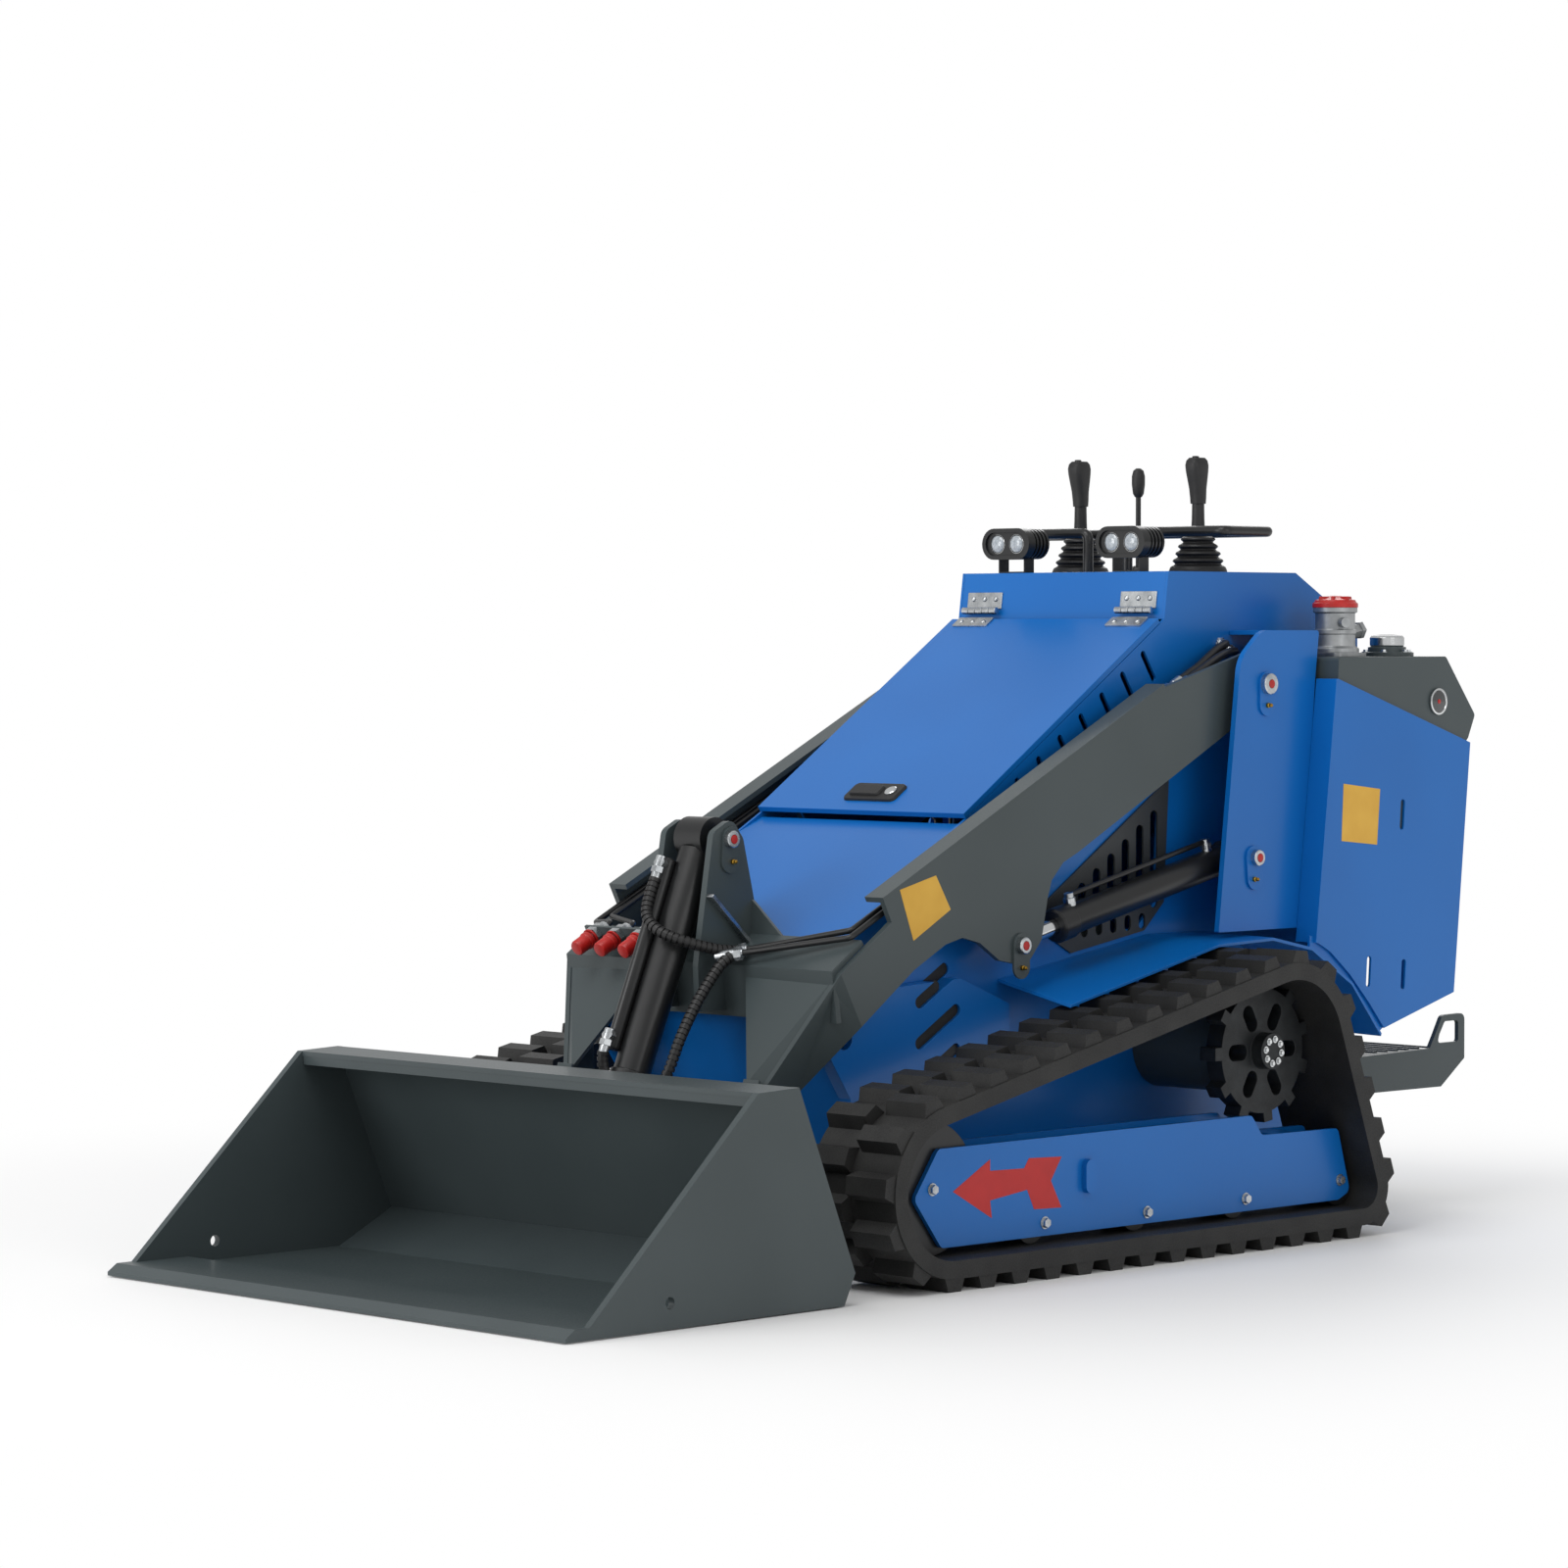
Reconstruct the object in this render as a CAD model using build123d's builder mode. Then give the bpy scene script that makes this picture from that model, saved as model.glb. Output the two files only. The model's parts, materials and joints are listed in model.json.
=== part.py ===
from build123d import *
import math
import os

# Mini skid steer loader on rubber tracks, standing with its bucket on the floor.
# Millimetres. X points forward to the bucket, Y to the machine's left, Z up from the floor.
# The origin lies on the floor under the middle of the machine's length.

# Running gear
track_out = 530          # outer edge of a track, from the middle plane
track_width = 180
belt_thick = 28
lug_height = 20
lug_base = 44            # length of a lug along the belt, at the belt
lug_top = 28             # and at its tip
lug_count = 38
groove = 8               # gap between the two rows of lugs
idler_x, idler_z, idler_r = 385, 153, 133        # belt's outer radius round each wheel
sprocket_x, sprocket_z, sprocket_r = -429, 317, 148
tail_x, tail_z, tail_r = -608, 82, 62
wheel_gap = 0.3          # wheels stand this far inside the belt
roller_xs = (151, -95, -340)
roller_z = 82
frame_out = 480          # outer face of the track frame's plate
frame_plate = 8
roller_width = 62
sprocket_teeth = 11
sprocket_width = 34
motor_r = 72

# Hull
hull_half = 236
hull_sheet = 5
belly_z = 120
hull_back = -900
nose_x, nose_z = 392, 474
chin_x, chin_z = 341, 274
hood_front_x, hood_front_z = 49, 705
hood_back_x, hood_back_z = -436, 1027
hood_sheet = 4
hood_gap = 6
console_x, console_z = -447, 1108
console_rear_x = -781
console_tail_x, console_tail_z = -951, 1015
skirt_out = 262
tie_x, tie_z, tie_r = 354, 369, 17        # lashing hole in each skirt
engine_x, engine_z = (-360, 20), (190, 560)
engine_half = 170

# Towers, fenders and side panels
tower_out = 345
tower_plate = 10
fender_out = 395
panel_sheet = 5
panel_out = 390

# Lift arms
arm_out = 314
arm_plate = 10
arm_flange = 40
lift_x, lift_z = -570, 919        # pivot of the arms on the towers
lift_pin_r = 17
lift_boss_r = 56
lobe_x, lobe_z = 5, 503           # rod pin of the lift cylinders on the arms
ram_x, ram_z = -541, 628          # base pin of the lift cylinders on the towers
ram_y = 288
ram_r = 25
ram_rod_r = 14
ram_pin_r = 13
ram_barrel_length = 430

# Tilt cylinder
tilt_x, tilt_z = 411, 678         # base pin on the arms' ears
link_x, link_z = 609, 208         # rod pin on the coupler
tilt_r = 30
tilt_rod_r = 16
tilt_pin_r = 13
tilt_barrel_length = 400
ear_out = 60
ear_plate = 12

# Coupler and bucket
wrist_x, wrist_z = 558, 62        # pivot of the coupler on the arms
wrist_pin_r = 13
leg_out = 231
leg_width = 34
bucket_half = 530
bucket_plate = 12
bucket_sheet = 8
bucket_top = (806, 331)
bucket_top_back = (722, 334)
bucket_heel = (604, 49)
bucket_heel_low = (627, 2)
bucket_toe = (1140, 2)
lip_x = 1188
coupler_plate = 10
coupler_half = 300

# Platform and tanks
platform_half = 290
platform_back = -1190
platform_top = 268
tank_in = 250

# Fits
pin_gap = 0.05
press_gap = 0.3

sides = ((1, "left"), (-1, "right"))


def slab(side, inner, outer):
    """Plane and depth of a sheet that stands between two distances from the middle plane."""
    return Plane.XZ.offset(-max(side * inner, side * outer)), outer - inner


def outline(points, radius=0.0, mode=Mode.ADD):
    """Closed face through the points, with rounded corners where a radius is given."""
    with BuildLine() as edge:
        if radius:
            FilletPolyline(*points, radius=radius, close=True)
        else:
            Polyline(*points, close=True)
    make_face(edge.edges(), mode=mode)


def band(points, thick):
    """Closed face of a sheet bent along the points, its thickness laid to the left of the run."""
    normals = []
    for a, b in zip(points, points[1:]):
        span = math.dist(a, b)
        normals.append(((a[1] - b[1]) / span, (b[0] - a[0]) / span))
    moved = []
    for point, n, m in zip(points, [normals[0], *normals], [*normals, normals[-1]]):
        reach = thick / (1 + n[0] * m[0] + n[1] * m[1])
        moved.append((point[0] + reach * (n[0] + m[0]), point[1] + reach * (n[1] + m[1])))
    outline([*points, *reversed(moved)])


def save(part, name):
    part.label = name
    export_step(part, f"parts/{name}.step")


def belt_face(offset):
    """Face inside the track's loop, offset from the belt's outer surface."""
    with Locations((idler_x, idler_z)):
        Circle(idler_r + offset)
    with Locations((sprocket_x, sprocket_z)):
        Circle(sprocket_r + offset)
    with Locations((tail_x, tail_z)):
        Circle(tail_r + offset)
    make_hull()


def slope_at(a, b, x):
    """Height at x on the line through two points."""
    return a[1] + (b[1] - a[1]) * (x - a[0]) / (b[0] - a[0])


def move_along(a, b, length):
    """Point at that length from a towards b."""
    span = math.dist(a, b)
    return (a[0] + (b[0] - a[0]) * length / span, a[1] + (b[1] - a[1]) * length / span)


os.makedirs("parts", exist_ok=True)

track_in = track_out - track_width
track_mid = (track_out + track_in) / 2

# Tracks: belt with two staggered rows of lugs
with BuildSketch() as loop:
    belt_face(0)
loop_wire = loop.faces()[0].outer_wire()
lug_root = 2             # depth of a lug's foot inside the belt


def lug_outline(at):
    """Corners of the lug at that share of the loop's length."""
    foot = loop_wire.position_at(at)
    run = loop_wire.tangent_at(at)
    out = Vector(run.Y, -run.X)
    if out.dot(foot - loop.faces()[0].center()) < 0:
        out = -out
    corners = []
    for along, away in ((-lug_base, -lug_root), (lug_base, -lug_root), (lug_top, lug_height), (-lug_top, lug_height)):
        corner = foot + run * (along / 2) + out * away
        corners.append((corner.X, corner.Y))
    return corners


for side, name in sides:
    with BuildPart() as track:
        plane, depth = slab(side, track_in, track_out)
        with BuildSketch(plane):
            belt_face(0)
        extrude(amount=depth)
        with BuildSketch(plane):
            belt_face(-belt_thick)
        extrude(amount=depth, mode=Mode.SUBTRACT)
        for shift, inner, outer in (
            (0.0, track_mid + groove / 2, track_out - lug_root),
            (0.5, track_in + lug_root, track_mid - groove / 2),
        ):
            plane, depth = slab(side, inner, outer)
            with BuildSketch(plane):
                for i in range(lug_count):
                    outline(lug_outline((i + shift) / lug_count))
                with Locations((0, -lug_height)):
                    Rectangle(4 * track_out, 2 * lug_height, mode=Mode.SUBTRACT)
            extrude(amount=depth)
    save(track.part, f"track_{name}")

# Wheels inside the tracks, and the frames that carry them
axle_r = 11
wheel_in = frame_out - frame_plate - 1 - roller_width
wheel_out = wheel_in + roller_width
axles = [(x, roller_z) for x in roller_xs] + [(tail_x, tail_z), (idler_x, idler_z)]
frame_points = [(371, 214), (425, 140), (364, 61), (-600, 59), (-630, 72), (-598, 179),
                (-401, 181), (-375, 215)]
inner_plate_out = wheel_in - 1
inner_plate_in = inner_plate_out - frame_plate

for side, name in sides:
    with BuildPart() as sprocket:
        tip_r = sprocket_r - belt_thick - 2 * wheel_gap
        plane, depth = slab(side, track_mid - sprocket_width / 2, track_mid + sprocket_width / 2)
        with BuildSketch(plane):
            with Locations((sprocket_x, sprocket_z)):
                Circle(tip_r - 16)
                with PolarLocations(tip_r - 10, sprocket_teeth):
                    Rectangle(19, 22)
                with PolarLocations(62, 6):
                    SlotOverall(46, 26, mode=Mode.SUBTRACT)
        extrude(amount=depth)
        plane, depth = slab(side, track_mid - 34, track_mid + 40)
        with BuildSketch(plane):
            with Locations((sprocket_x, sprocket_z)):
                Circle(30)
        extrude(amount=depth)
    save(sprocket.part, f"sprocket_{name}")

    with BuildPart() as motor:
        plane, depth = slab(side, hull_half, track_mid - 34)
        with BuildSketch(plane):
            with Locations((sprocket_x, sprocket_z)):
                Circle(motor_r)
        extrude(amount=depth)
    save(motor.part, f"drive_motor_{name}")

    with BuildPart() as wheels:
        plane, depth = slab(side, wheel_in, wheel_out)
        with BuildSketch(plane):
            with Locations((idler_x, idler_z)):
                Circle(idler_r - belt_thick - wheel_gap)
            for x in roller_xs:
                with Locations((x, roller_z)):
                    Circle(roller_z - lug_height - belt_thick - wheel_gap)
            with Locations((tail_x, tail_z)):
                Circle(tail_r - belt_thick - wheel_gap)
            for x, z in axles:
                with Locations((x, z)):
                    Circle(axle_r + pin_gap, mode=Mode.SUBTRACT)
        extrude(amount=depth)
    save(wheels.part, f"rollers_{name}")

    with BuildPart() as frame:
        for inner, outer in ((frame_out - frame_plate, frame_out), (inner_plate_in, inner_plate_out)):
            plane, depth = slab(side, inner, outer)
            with BuildSketch(plane):
                outline(frame_points, 12)
            extrude(amount=depth)
        plane, depth = slab(side, inner_plate_in, frame_out)
        with BuildSketch(plane):
            for x in (225, 28, -218, -470):
                with Locations((x, 160)):
                    Rectangle(60, 40)
            for x, z in axles:
                with Locations((x, z)):
                    Circle(axle_r)
        extrude(amount=depth)
        plane, depth = slab(side, hull_half, inner_plate_in)
        with BuildSketch(plane):
            for x in (180, -240):
                with Locations((x, 150)):
                    Rectangle(90, 50)
        extrude(amount=depth)
    save(frame.part, f"track_frame_{name}")

# Hull: side sheets, nose, belly, rear wall, console
hull_points = [
    (hull_back, belly_z), (chin_x - 41, belly_z), (chin_x, belly_z + 60), (chin_x, chin_z), (nose_x, nose_z),
    (hood_front_x + 59, hood_front_z - 33), (hood_front_x, hood_front_z),
    (hood_back_x, hood_back_z), (console_x, console_z),
    (console_rear_x, console_z), (console_tail_x, console_tail_z), (console_tail_x, 640), (hull_back, 560),
]
for side, name in sides:
    with BuildPart() as wall:
        plane, depth = slab(side, hull_half - hull_sheet, hull_half)
        with BuildSketch(plane):
            outline(hull_points)
            with Locations((-250, 600)):
                SlotOverall(150, 90, mode=Mode.SUBTRACT)
            with Locations((tie_x, tie_z)):
                Circle(tie_r + 4, mode=Mode.SUBTRACT)
        extrude(amount=depth)
    save(wall.part, f"hull_side_{name}")

inner_half = hull_half - hull_sheet


def folded(points, thick, half):
    """Folded sheet across the machine, out to that distance from the middle plane on both sides."""
    with BuildSketch(Plane.XZ.offset(half)) as section:
        band(points, thick)
    extrude(section.sketch, amount=-2 * half)


with BuildPart() as nose:
    folded([(hood_front_x + 1, hood_front_z - 8), (hood_front_x + 59, hood_front_z - 33), (nose_x, nose_z),
            (chin_x, chin_z), (chin_x, belly_z + 60), (chin_x - 41, belly_z), (hull_back, belly_z)],
           -hull_sheet, inner_half)
save(nose.part, "nose_panel")

with BuildPart() as console:
    folded([(hull_back, belly_z + hull_sheet + press_gap), (hull_back, 560), (console_tail_x, 640),
            (console_tail_x, console_tail_z), (console_rear_x, console_z), (console_x, console_z),
            (hood_back_x, hood_back_z)],
           -hull_sheet, inner_half)
save(console.part, "console")

with BuildPart() as engine:
    with BuildSketch(Plane.XY.offset(engine_z[0])):
        with Locations(((engine_x[0] + engine_x[1]) / 2, 0)):
            Rectangle(engine_x[1] - engine_x[0], 2 * engine_half)
    extrude(amount=engine_z[1] - engine_z[0])
    with BuildSketch(Plane.XY.offset(belly_z + hull_sheet)):
        with Locations(*[(x, y) for x in (-320, -20) for y in (-120, 120)]):
            Rectangle(50, 60)
    extrude(amount=engine_z[0] - belly_z - hull_sheet)
save(engine.part, "engine_block")

# Hood lid over the engine, hinged at its upper edge: a sheet with turned-down rims
hood_run = math.atan2(hood_front_z - hood_back_z, hood_front_x - hood_back_x)
hood_length = math.hypot(hood_front_x - hood_back_x, hood_front_z - hood_back_z) - 12
with BuildPart() as hood:
    tilted = Plane(origin=(hood_front_x, 0, hood_front_z), x_dir=(-math.cos(hood_run), 0, -math.sin(hood_run)),
                   z_dir=(-math.sin(hood_run), 0, math.cos(hood_run)))
    with BuildSketch(tilted.offset(0.6)):
        with Locations((hood_length / 2, 0)):
            Rectangle(hood_length, 2 * hull_half)
    extrude(amount=hood_gap + hood_sheet)
    with BuildSketch(tilted.offset(0.6)):
        with Locations((hood_length / 2, 0)):
            Rectangle(hood_length - 2 * hood_sheet, 2 * (hull_half - hood_sheet))
    extrude(amount=hood_gap, mode=Mode.SUBTRACT)
save(hood.part, "hood_lid")

# Fenders: shoulder over the track and slotted skirt in front of it
fender_in = hull_half + press_gap
# x and z along the outer edge, and how much higher the inner edge lies
fender_run = [(-27, 410, 34), (-394, 491, 10), (-533, 496, 4), (-636, 475, 4), (-742, 412, 4), (-822, 320, 4)]
for side, name in sides:
    with BuildPart() as fender:
        faces = []
        for reach, share in ((fender_in, 1), (fender_out, 0)):
            top = [(x, z + share * rise) for x, z, rise in fender_run]
            corners = [*top, *[(x + 2, z - panel_sheet) for x, z in reversed(top)]]
            faces.append(Face(Wire.make_polygon([(x, side * reach, z) for x, z in corners])))
        loft(sections=faces, ruled=True)
        plane, depth = slab(side, fender_in, skirt_out)
        with BuildSketch(plane):
            outline([(-27, 300), (chin_x, 230), (chin_x, chin_z), (385, 340), (396, 372), (380, 405),
                     (320, 440), (90, 452), (-27, 405)])
            for z in (473, 408, 345):
                with Locations((142, z - 31)):
                    SlotOverall(116, 20, rotation=-30, mode=Mode.SUBTRACT)
            with Locations((tie_x, tie_z)):
                Circle(tie_r, mode=Mode.SUBTRACT)
        extrude(amount=depth)
    save(fender.part, f"fender_{name}")

# Towers: outer plate, rear web and the pins of arm and lift cylinder
tower_points = [(-450, 506), (-505, 962), (-561, 1009), (-711, 1009), (-701, 928), (-665, 506)]
tower_in = hull_half + press_gap
for side, name in sides:
    with BuildPart() as tower:
        plane, depth = slab(side, tower_out - tower_plate, tower_out)
        with BuildSketch(plane):
            outline(tower_points, [2, 60, 40, 6, 30, 2])
        extrude(amount=depth)
        plane, depth = slab(side, tower_in, tower_out - tower_plate)
        with BuildSketch(plane):
            outline([(-653, 506), (-688, 928), (-696, 985), (-708, 985), (-700, 928), (-665, 506)])
        extrude(amount=depth)
        plane, depth = slab(side, tower_in, tower_out + 12)
        with BuildSketch(plane):
            with Locations((lift_x, lift_z)):
                Circle(lift_pin_r)
            with Locations((ram_x, ram_z)):
                Circle(ram_pin_r)
        extrude(amount=depth)
    save(tower.part, f"tower_{name}")

    with BuildPart() as panel:
        plane, depth = slab(side, panel_out - panel_sheet, panel_out)
        with BuildSketch(plane):
            outline([(-708, 927), (-1073, 814), (-1029, 380), (-835, 328), (-795, 372), (-742, 424),
                     (-689, 465), (-655, 482)])
            with Locations((-883, 693), (-792, 427), (-887, 418)):
                SlotOverall(52, 11, rotation=94, mode=Mode.SUBTRACT)
        extrude(amount=depth)
        plane, depth = slab(side, tower_out + press_gap, panel_out)
        with BuildSketch(plane):
            outline([(-703, 927), (-708, 927), (-655, 482), (-650, 482)])
        extrude(amount=depth)
        plane, depth = slab(side, tank_in, panel_out)
        with BuildSketch(plane):
            outline([(-1073, 814), (-1068, 814), (-1024, 380), (-1029, 380)])
        extrude(amount=depth)
    save(panel.part, f"side_panel_{name}")

    with BuildPart() as tank:
        plane, depth = slab(side, tank_in, panel_out - panel_sheet - press_gap)
        with BuildSketch(plane):
            outline([(-716, 964), (-1010, 964), (-1093, 862), (-1074, 822), (-1064, 812),
                     (-1034, 500), (-735, 500), (-700, 700)], 8)
        extrude(amount=depth)
    save(tank.part, "hydraulic_tank" if side > 0 else "fuel_tank")

with BuildPart() as filter_head:
    with BuildSketch(Plane.XY.offset(964)):
        with Locations((-785, 320)):
            Circle(34)
    extrude(amount=84)
save(filter_head.part, "filter_housing")

with BuildPart() as cap:
    with BuildSketch(Plane.XY.offset(1048)):
        with Locations((-785, 320)):
            Circle(39)
    extrude(amount=20)
save(cap.part, "filter_cap")

# Operator's platform
with BuildPart() as platform:
    plane, depth = slab(1, -platform_half, platform_half)
    with BuildSketch(plane):
        outline([(hull_back - press_gap, platform_top), (platform_back + 70, platform_top),
                 (platform_back + 70, platform_top - 20), (hull_back - press_gap, platform_top - 20)])
    extrude(amount=depth)
    for side in (1, -1):
        plane, depth = slab(side, platform_half - 8, platform_half)
        with BuildSketch(plane):
            outline([(hull_back + 40, 268), (-1090, 272), (-1104, 293), (-1126, 329), (-1190, 330),
                     (-1190, 250), (-1123, 203), (hull_back + 40, 204)], [2, 4, 4, 12, 12, 4, 4, 2])
            outline([(-1118, 296), (-1133, 318), (-1172, 318), (-1172, 280), (-1112, 280)], 6, Mode.SUBTRACT)
        extrude(amount=depth)
    with BuildSketch(Plane.XZ.offset(platform_half)):
        outline([(platform_back, 250), (platform_back + 8, 250), (platform_back + 75, 203), (platform_back + 67, 203)])
    extrude(amount=-2 * platform_half)
save(platform.part, "platform")

# Controls
for side, name in sides:
    with BuildPart() as stick:
        with BuildSketch(Plane.XY.offset(console_z)):
            with Locations((-641, side * 135)):
                Circle(42)
        extrude(amount=66, taper=22)
        with BuildSketch(Plane.XY.offset(console_z + 60)):
            with Locations((-641, side * 135)):
                Circle(9)
        extrude(amount=140)
    save(stick.part, f"joystick_{name}")

    with BuildPart() as lamp:
        with BuildSketch(Plane.XY.offset(console_z)):
            with Locations((-470, side * 131)):
                Rectangle(24, 30)
        extrude(amount=28)
        with BuildSketch(Plane.YZ.offset(-484)):
            with Locations((side * 131, console_z + 50)):
                SlotOverall(110, 52)
        extrude(amount=44)
    save(lamp.part, f"work_lamp_{name}")

with BuildPart() as lever:
    with BuildSketch(Plane.XY.offset(console_z)):
        with Locations((-672, 0)):
            Circle(9)
    extrude(amount=182)
save(lever.part, "centre_lever")

with BuildPart() as bar:
    with BuildSketch(Plane.XZ.offset(-225)):
        with Locations((-560, console_z + 64)):
            Circle(14)
    extrude(amount=450)
    for y in (-210, 210):
        with BuildSketch(Plane.XY.offset(console_z)):
            with Locations((-560, y)):
                Circle(12)
        extrude(amount=60)
save(bar.part, "hand_bar")

# Lift arms: bent plate with a top flange
web_points = [
    (322, 591), (302, 552), (415, 476), (369, 392), (251, 475), (179, 512), (140, 521), (100, 511), (54, 481),
    (7, 472), (-20, 480), (-46, 510), (-60, 575), (-70, 605), (-98, 633), (-133, 648), (-376, 770), (-560, 863),
    (-626, 919), (-570, 975), (-346, 914),
]
web_radius = [2, 12, 2, 2, 30, 20, 20, 20, 20, 20, 20, 20, 20, 12, 18, 30, 40, 1, 50, 54, 20]
for side, name in sides:
    with BuildPart() as arm:
        plane, depth = slab(side, arm_out - arm_plate, arm_out)
        with BuildSketch(plane):
            outline(web_points)
        extrude(amount=depth)
        plane, depth = slab(side, arm_out - arm_flange, arm_out)
        with BuildSketch(plane):
            outline([(322, 591), (-346, 920), (-349, 912), (318, 583)])
        extrude(amount=depth)
        plane, depth = slab(side, 270, 328)
        with BuildSketch(plane):
            with Locations((lift_x, lift_z)):
                Circle(36)
        extrude(amount=depth)
        plane, depth = slab(side, 260, 330)
        with BuildSketch(plane):
            with Locations((lift_x, lift_z)):
                Circle(lift_pin_r + pin_gap)
        extrude(amount=depth, mode=Mode.SUBTRACT)
        plane, depth = slab(side, arm_out, arm_out + 12)
        with BuildSketch(plane):
            with Locations((lobe_x, lobe_z)):
                Circle(ram_pin_r)
        extrude(amount=depth)
    save(arm.part, f"lift_arm_{name}")

# Yoke between the arms: cross plate, tilt ears and the two converging legs
fold_top, fold_low = (415, 476), (369, 392)          # crease between an arm's web and its leg
leg_top, leg_low = (500, 297), (439, 278)            # crease where the leg turns straight down
cover_top, cover_low = (420, 106, 472), (511, 199, 314)
cover_plate = 9
weld_step = 2            # the cover plates are let in this far behind the edges that they are welded to
leg_points = [leg_low, leg_top, (511, 314), (wrist_x + 30, wrist_z + 14), (wrist_x + 22, wrist_z - 22),
              (wrist_x - 12, wrist_z - 28), (wrist_x - 34, wrist_z + 8)]
ear_points = [(356, 517), (353, 577), (tilt_x - 33, tilt_z), (tilt_x - 8, tilt_z + 33), (tilt_x + 33, tilt_z + 12),
              (478, 481), (474, 408), (405, 408), (415, 476)]


def creased(corners, thick, direction):
    """Plate through four corners, creased along the diagonal from the first, its thickness laid one way."""
    for i in (1, 2):
        face = Face(Wire.make_polygon([corners[0], corners[i], corners[i + 1]]))
        extrude(face, amount=thick, dir=direction)


with BuildPart() as yoke:
    with BuildSketch(Plane.XZ.offset(arm_out - arm_plate)):
        band([(404, 400), fold_top, (354, 518)], -10)
    extrude(amount=-2 * (arm_out - arm_plate))
    for side in (1, -1):
        creased([(fold_top[0], side * arm_out, fold_top[1]), (fold_low[0], side * arm_out, fold_low[1]),
                 (leg_low[0], side * leg_out, leg_low[1]), (leg_top[0], side * leg_out, leg_top[1])],
                arm_plate, (0, -side, 0))
        creased([(fold_top[0] - weld_step, side * (arm_out - arm_plate), fold_top[1]),
                 (leg_top[0] - weld_step, side * (leg_out - arm_plate / 2), leg_top[1] - 4 * weld_step),
                 (cover_low[0] - weld_step, side * (cover_low[1] + weld_step), cover_low[2] - 4 * weld_step),
                 (cover_top[0] - weld_step, side * cover_top[1], cover_top[2])],
                cover_plate, (-1, 0, 0))
        plane, depth = slab(side, leg_out - leg_width, leg_out)
        with BuildSketch(plane):
            outline(leg_points, [1, 1, 1, 14, 14, 14, 14])
        extrude(amount=depth)
        plane, depth = slab(side, ear_out - ear_plate, ear_out)
        with BuildSketch(plane):
            outline(ear_points, [1, 20, 18, 18, 18, 20, 6, 1, 1])
        extrude(amount=depth)
    with BuildSketch(Plane.XZ.offset(ear_out + 10)):
        with Locations((tilt_x, tilt_z)):
            Circle(tilt_pin_r)
    extrude(amount=-2 * (ear_out + 10))
    with BuildSketch(Plane.XZ.offset(leg_out + 10)):
        with Locations((wrist_x, wrist_z)):
            Circle(wrist_pin_r + pin_gap)
    extrude(amount=-2 * (leg_out + 10), mode=Mode.SUBTRACT)
save(yoke.part, "arm_yoke")

# Lift cylinders
ram_dir = (lobe_x - ram_x, lobe_z - ram_z)
for kind in ("barrel", "rod"):
    for side, name in sides:
        y = side * ram_y
        start = Vector(ram_x, y, ram_z)
        end = Vector(lobe_x, y, lobe_z)
        along = Plane(origin=start, x_dir=(0, 1, 0), z_dir=end - start)
        span = (end - start).length
        with BuildPart() as ram:
            if kind == "barrel":
                with BuildSketch(along.offset(20)):
                    Circle(ram_r)
                extrude(amount=ram_barrel_length)
                with BuildSketch(Plane.XZ.offset(-y - 20)):
                    with Locations((ram_x, ram_z)):
                        Circle(26)
                extrude(amount=40)
                with BuildSketch(along.offset(30)):
                    Circle(ram_rod_r + press_gap)
                extrude(amount=ram_barrel_length, mode=Mode.SUBTRACT)
                with BuildSketch(Plane.XZ.offset(-y - 30)):
                    with Locations((ram_x, ram_z)):
                        Circle(ram_pin_r + pin_gap)
                extrude(amount=60, mode=Mode.SUBTRACT)
            else:
                with BuildSketch(along.offset(60)):
                    Circle(ram_rod_r)
                extrude(amount=span - 66)
                with BuildSketch(Plane.XZ.offset(-y - 10)):
                    with Locations((lobe_x, lobe_z)):
                        Circle(22)
                extrude(amount=20)
        save(ram.part, f"lift_{kind}_{name}")

# Tilt cylinder
start, end = Vector(tilt_x, 0, tilt_z), Vector(link_x, 0, link_z)
along = Plane(origin=start, x_dir=(0, 1, 0), z_dir=end - start)
span = (end - start).length
with BuildPart() as barrel:
    with BuildSketch(along.offset(24)):
        Circle(tilt_r)
    extrude(amount=tilt_barrel_length)
    with BuildSketch(Plane.XZ.offset(-30)):
        with Locations((tilt_x, tilt_z)):
            Circle(34)
    extrude(amount=60)
    with BuildSketch(along.offset(40)):
        Circle(tilt_rod_r + press_gap)
    extrude(amount=tilt_barrel_length, mode=Mode.SUBTRACT)
    with BuildSketch(Plane.XZ.offset(-40)):
        with Locations((tilt_x, tilt_z)):
            Circle(tilt_pin_r + pin_gap)
    extrude(amount=80, mode=Mode.SUBTRACT)
save(barrel.part, "tilt_barrel")

with BuildPart() as rod:
    with BuildSketch(along.offset(90)):
        Circle(tilt_rod_r)
    extrude(amount=span - 96)
    with BuildSketch(Plane.XZ.offset(-20)):
        with Locations((link_x, link_z)):
            Circle(20)
    extrude(amount=40)
save(rod.part, "tilt_rod")

# Coupler on the bucket's back
heel, back = bucket_heel, bucket_top_back
unit = ((back[0] - heel[0]) / math.dist(heel, back), (back[1] - heel[1]) / math.dist(heel, back))


def behind(distance, along_back):
    """Point behind the bucket's back, measured square to it, and along it from the heel."""
    return (heel[0] + unit[0] * along_back - unit[1] * distance, heel[1] + unit[1] * along_back + unit[0] * distance)


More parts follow.
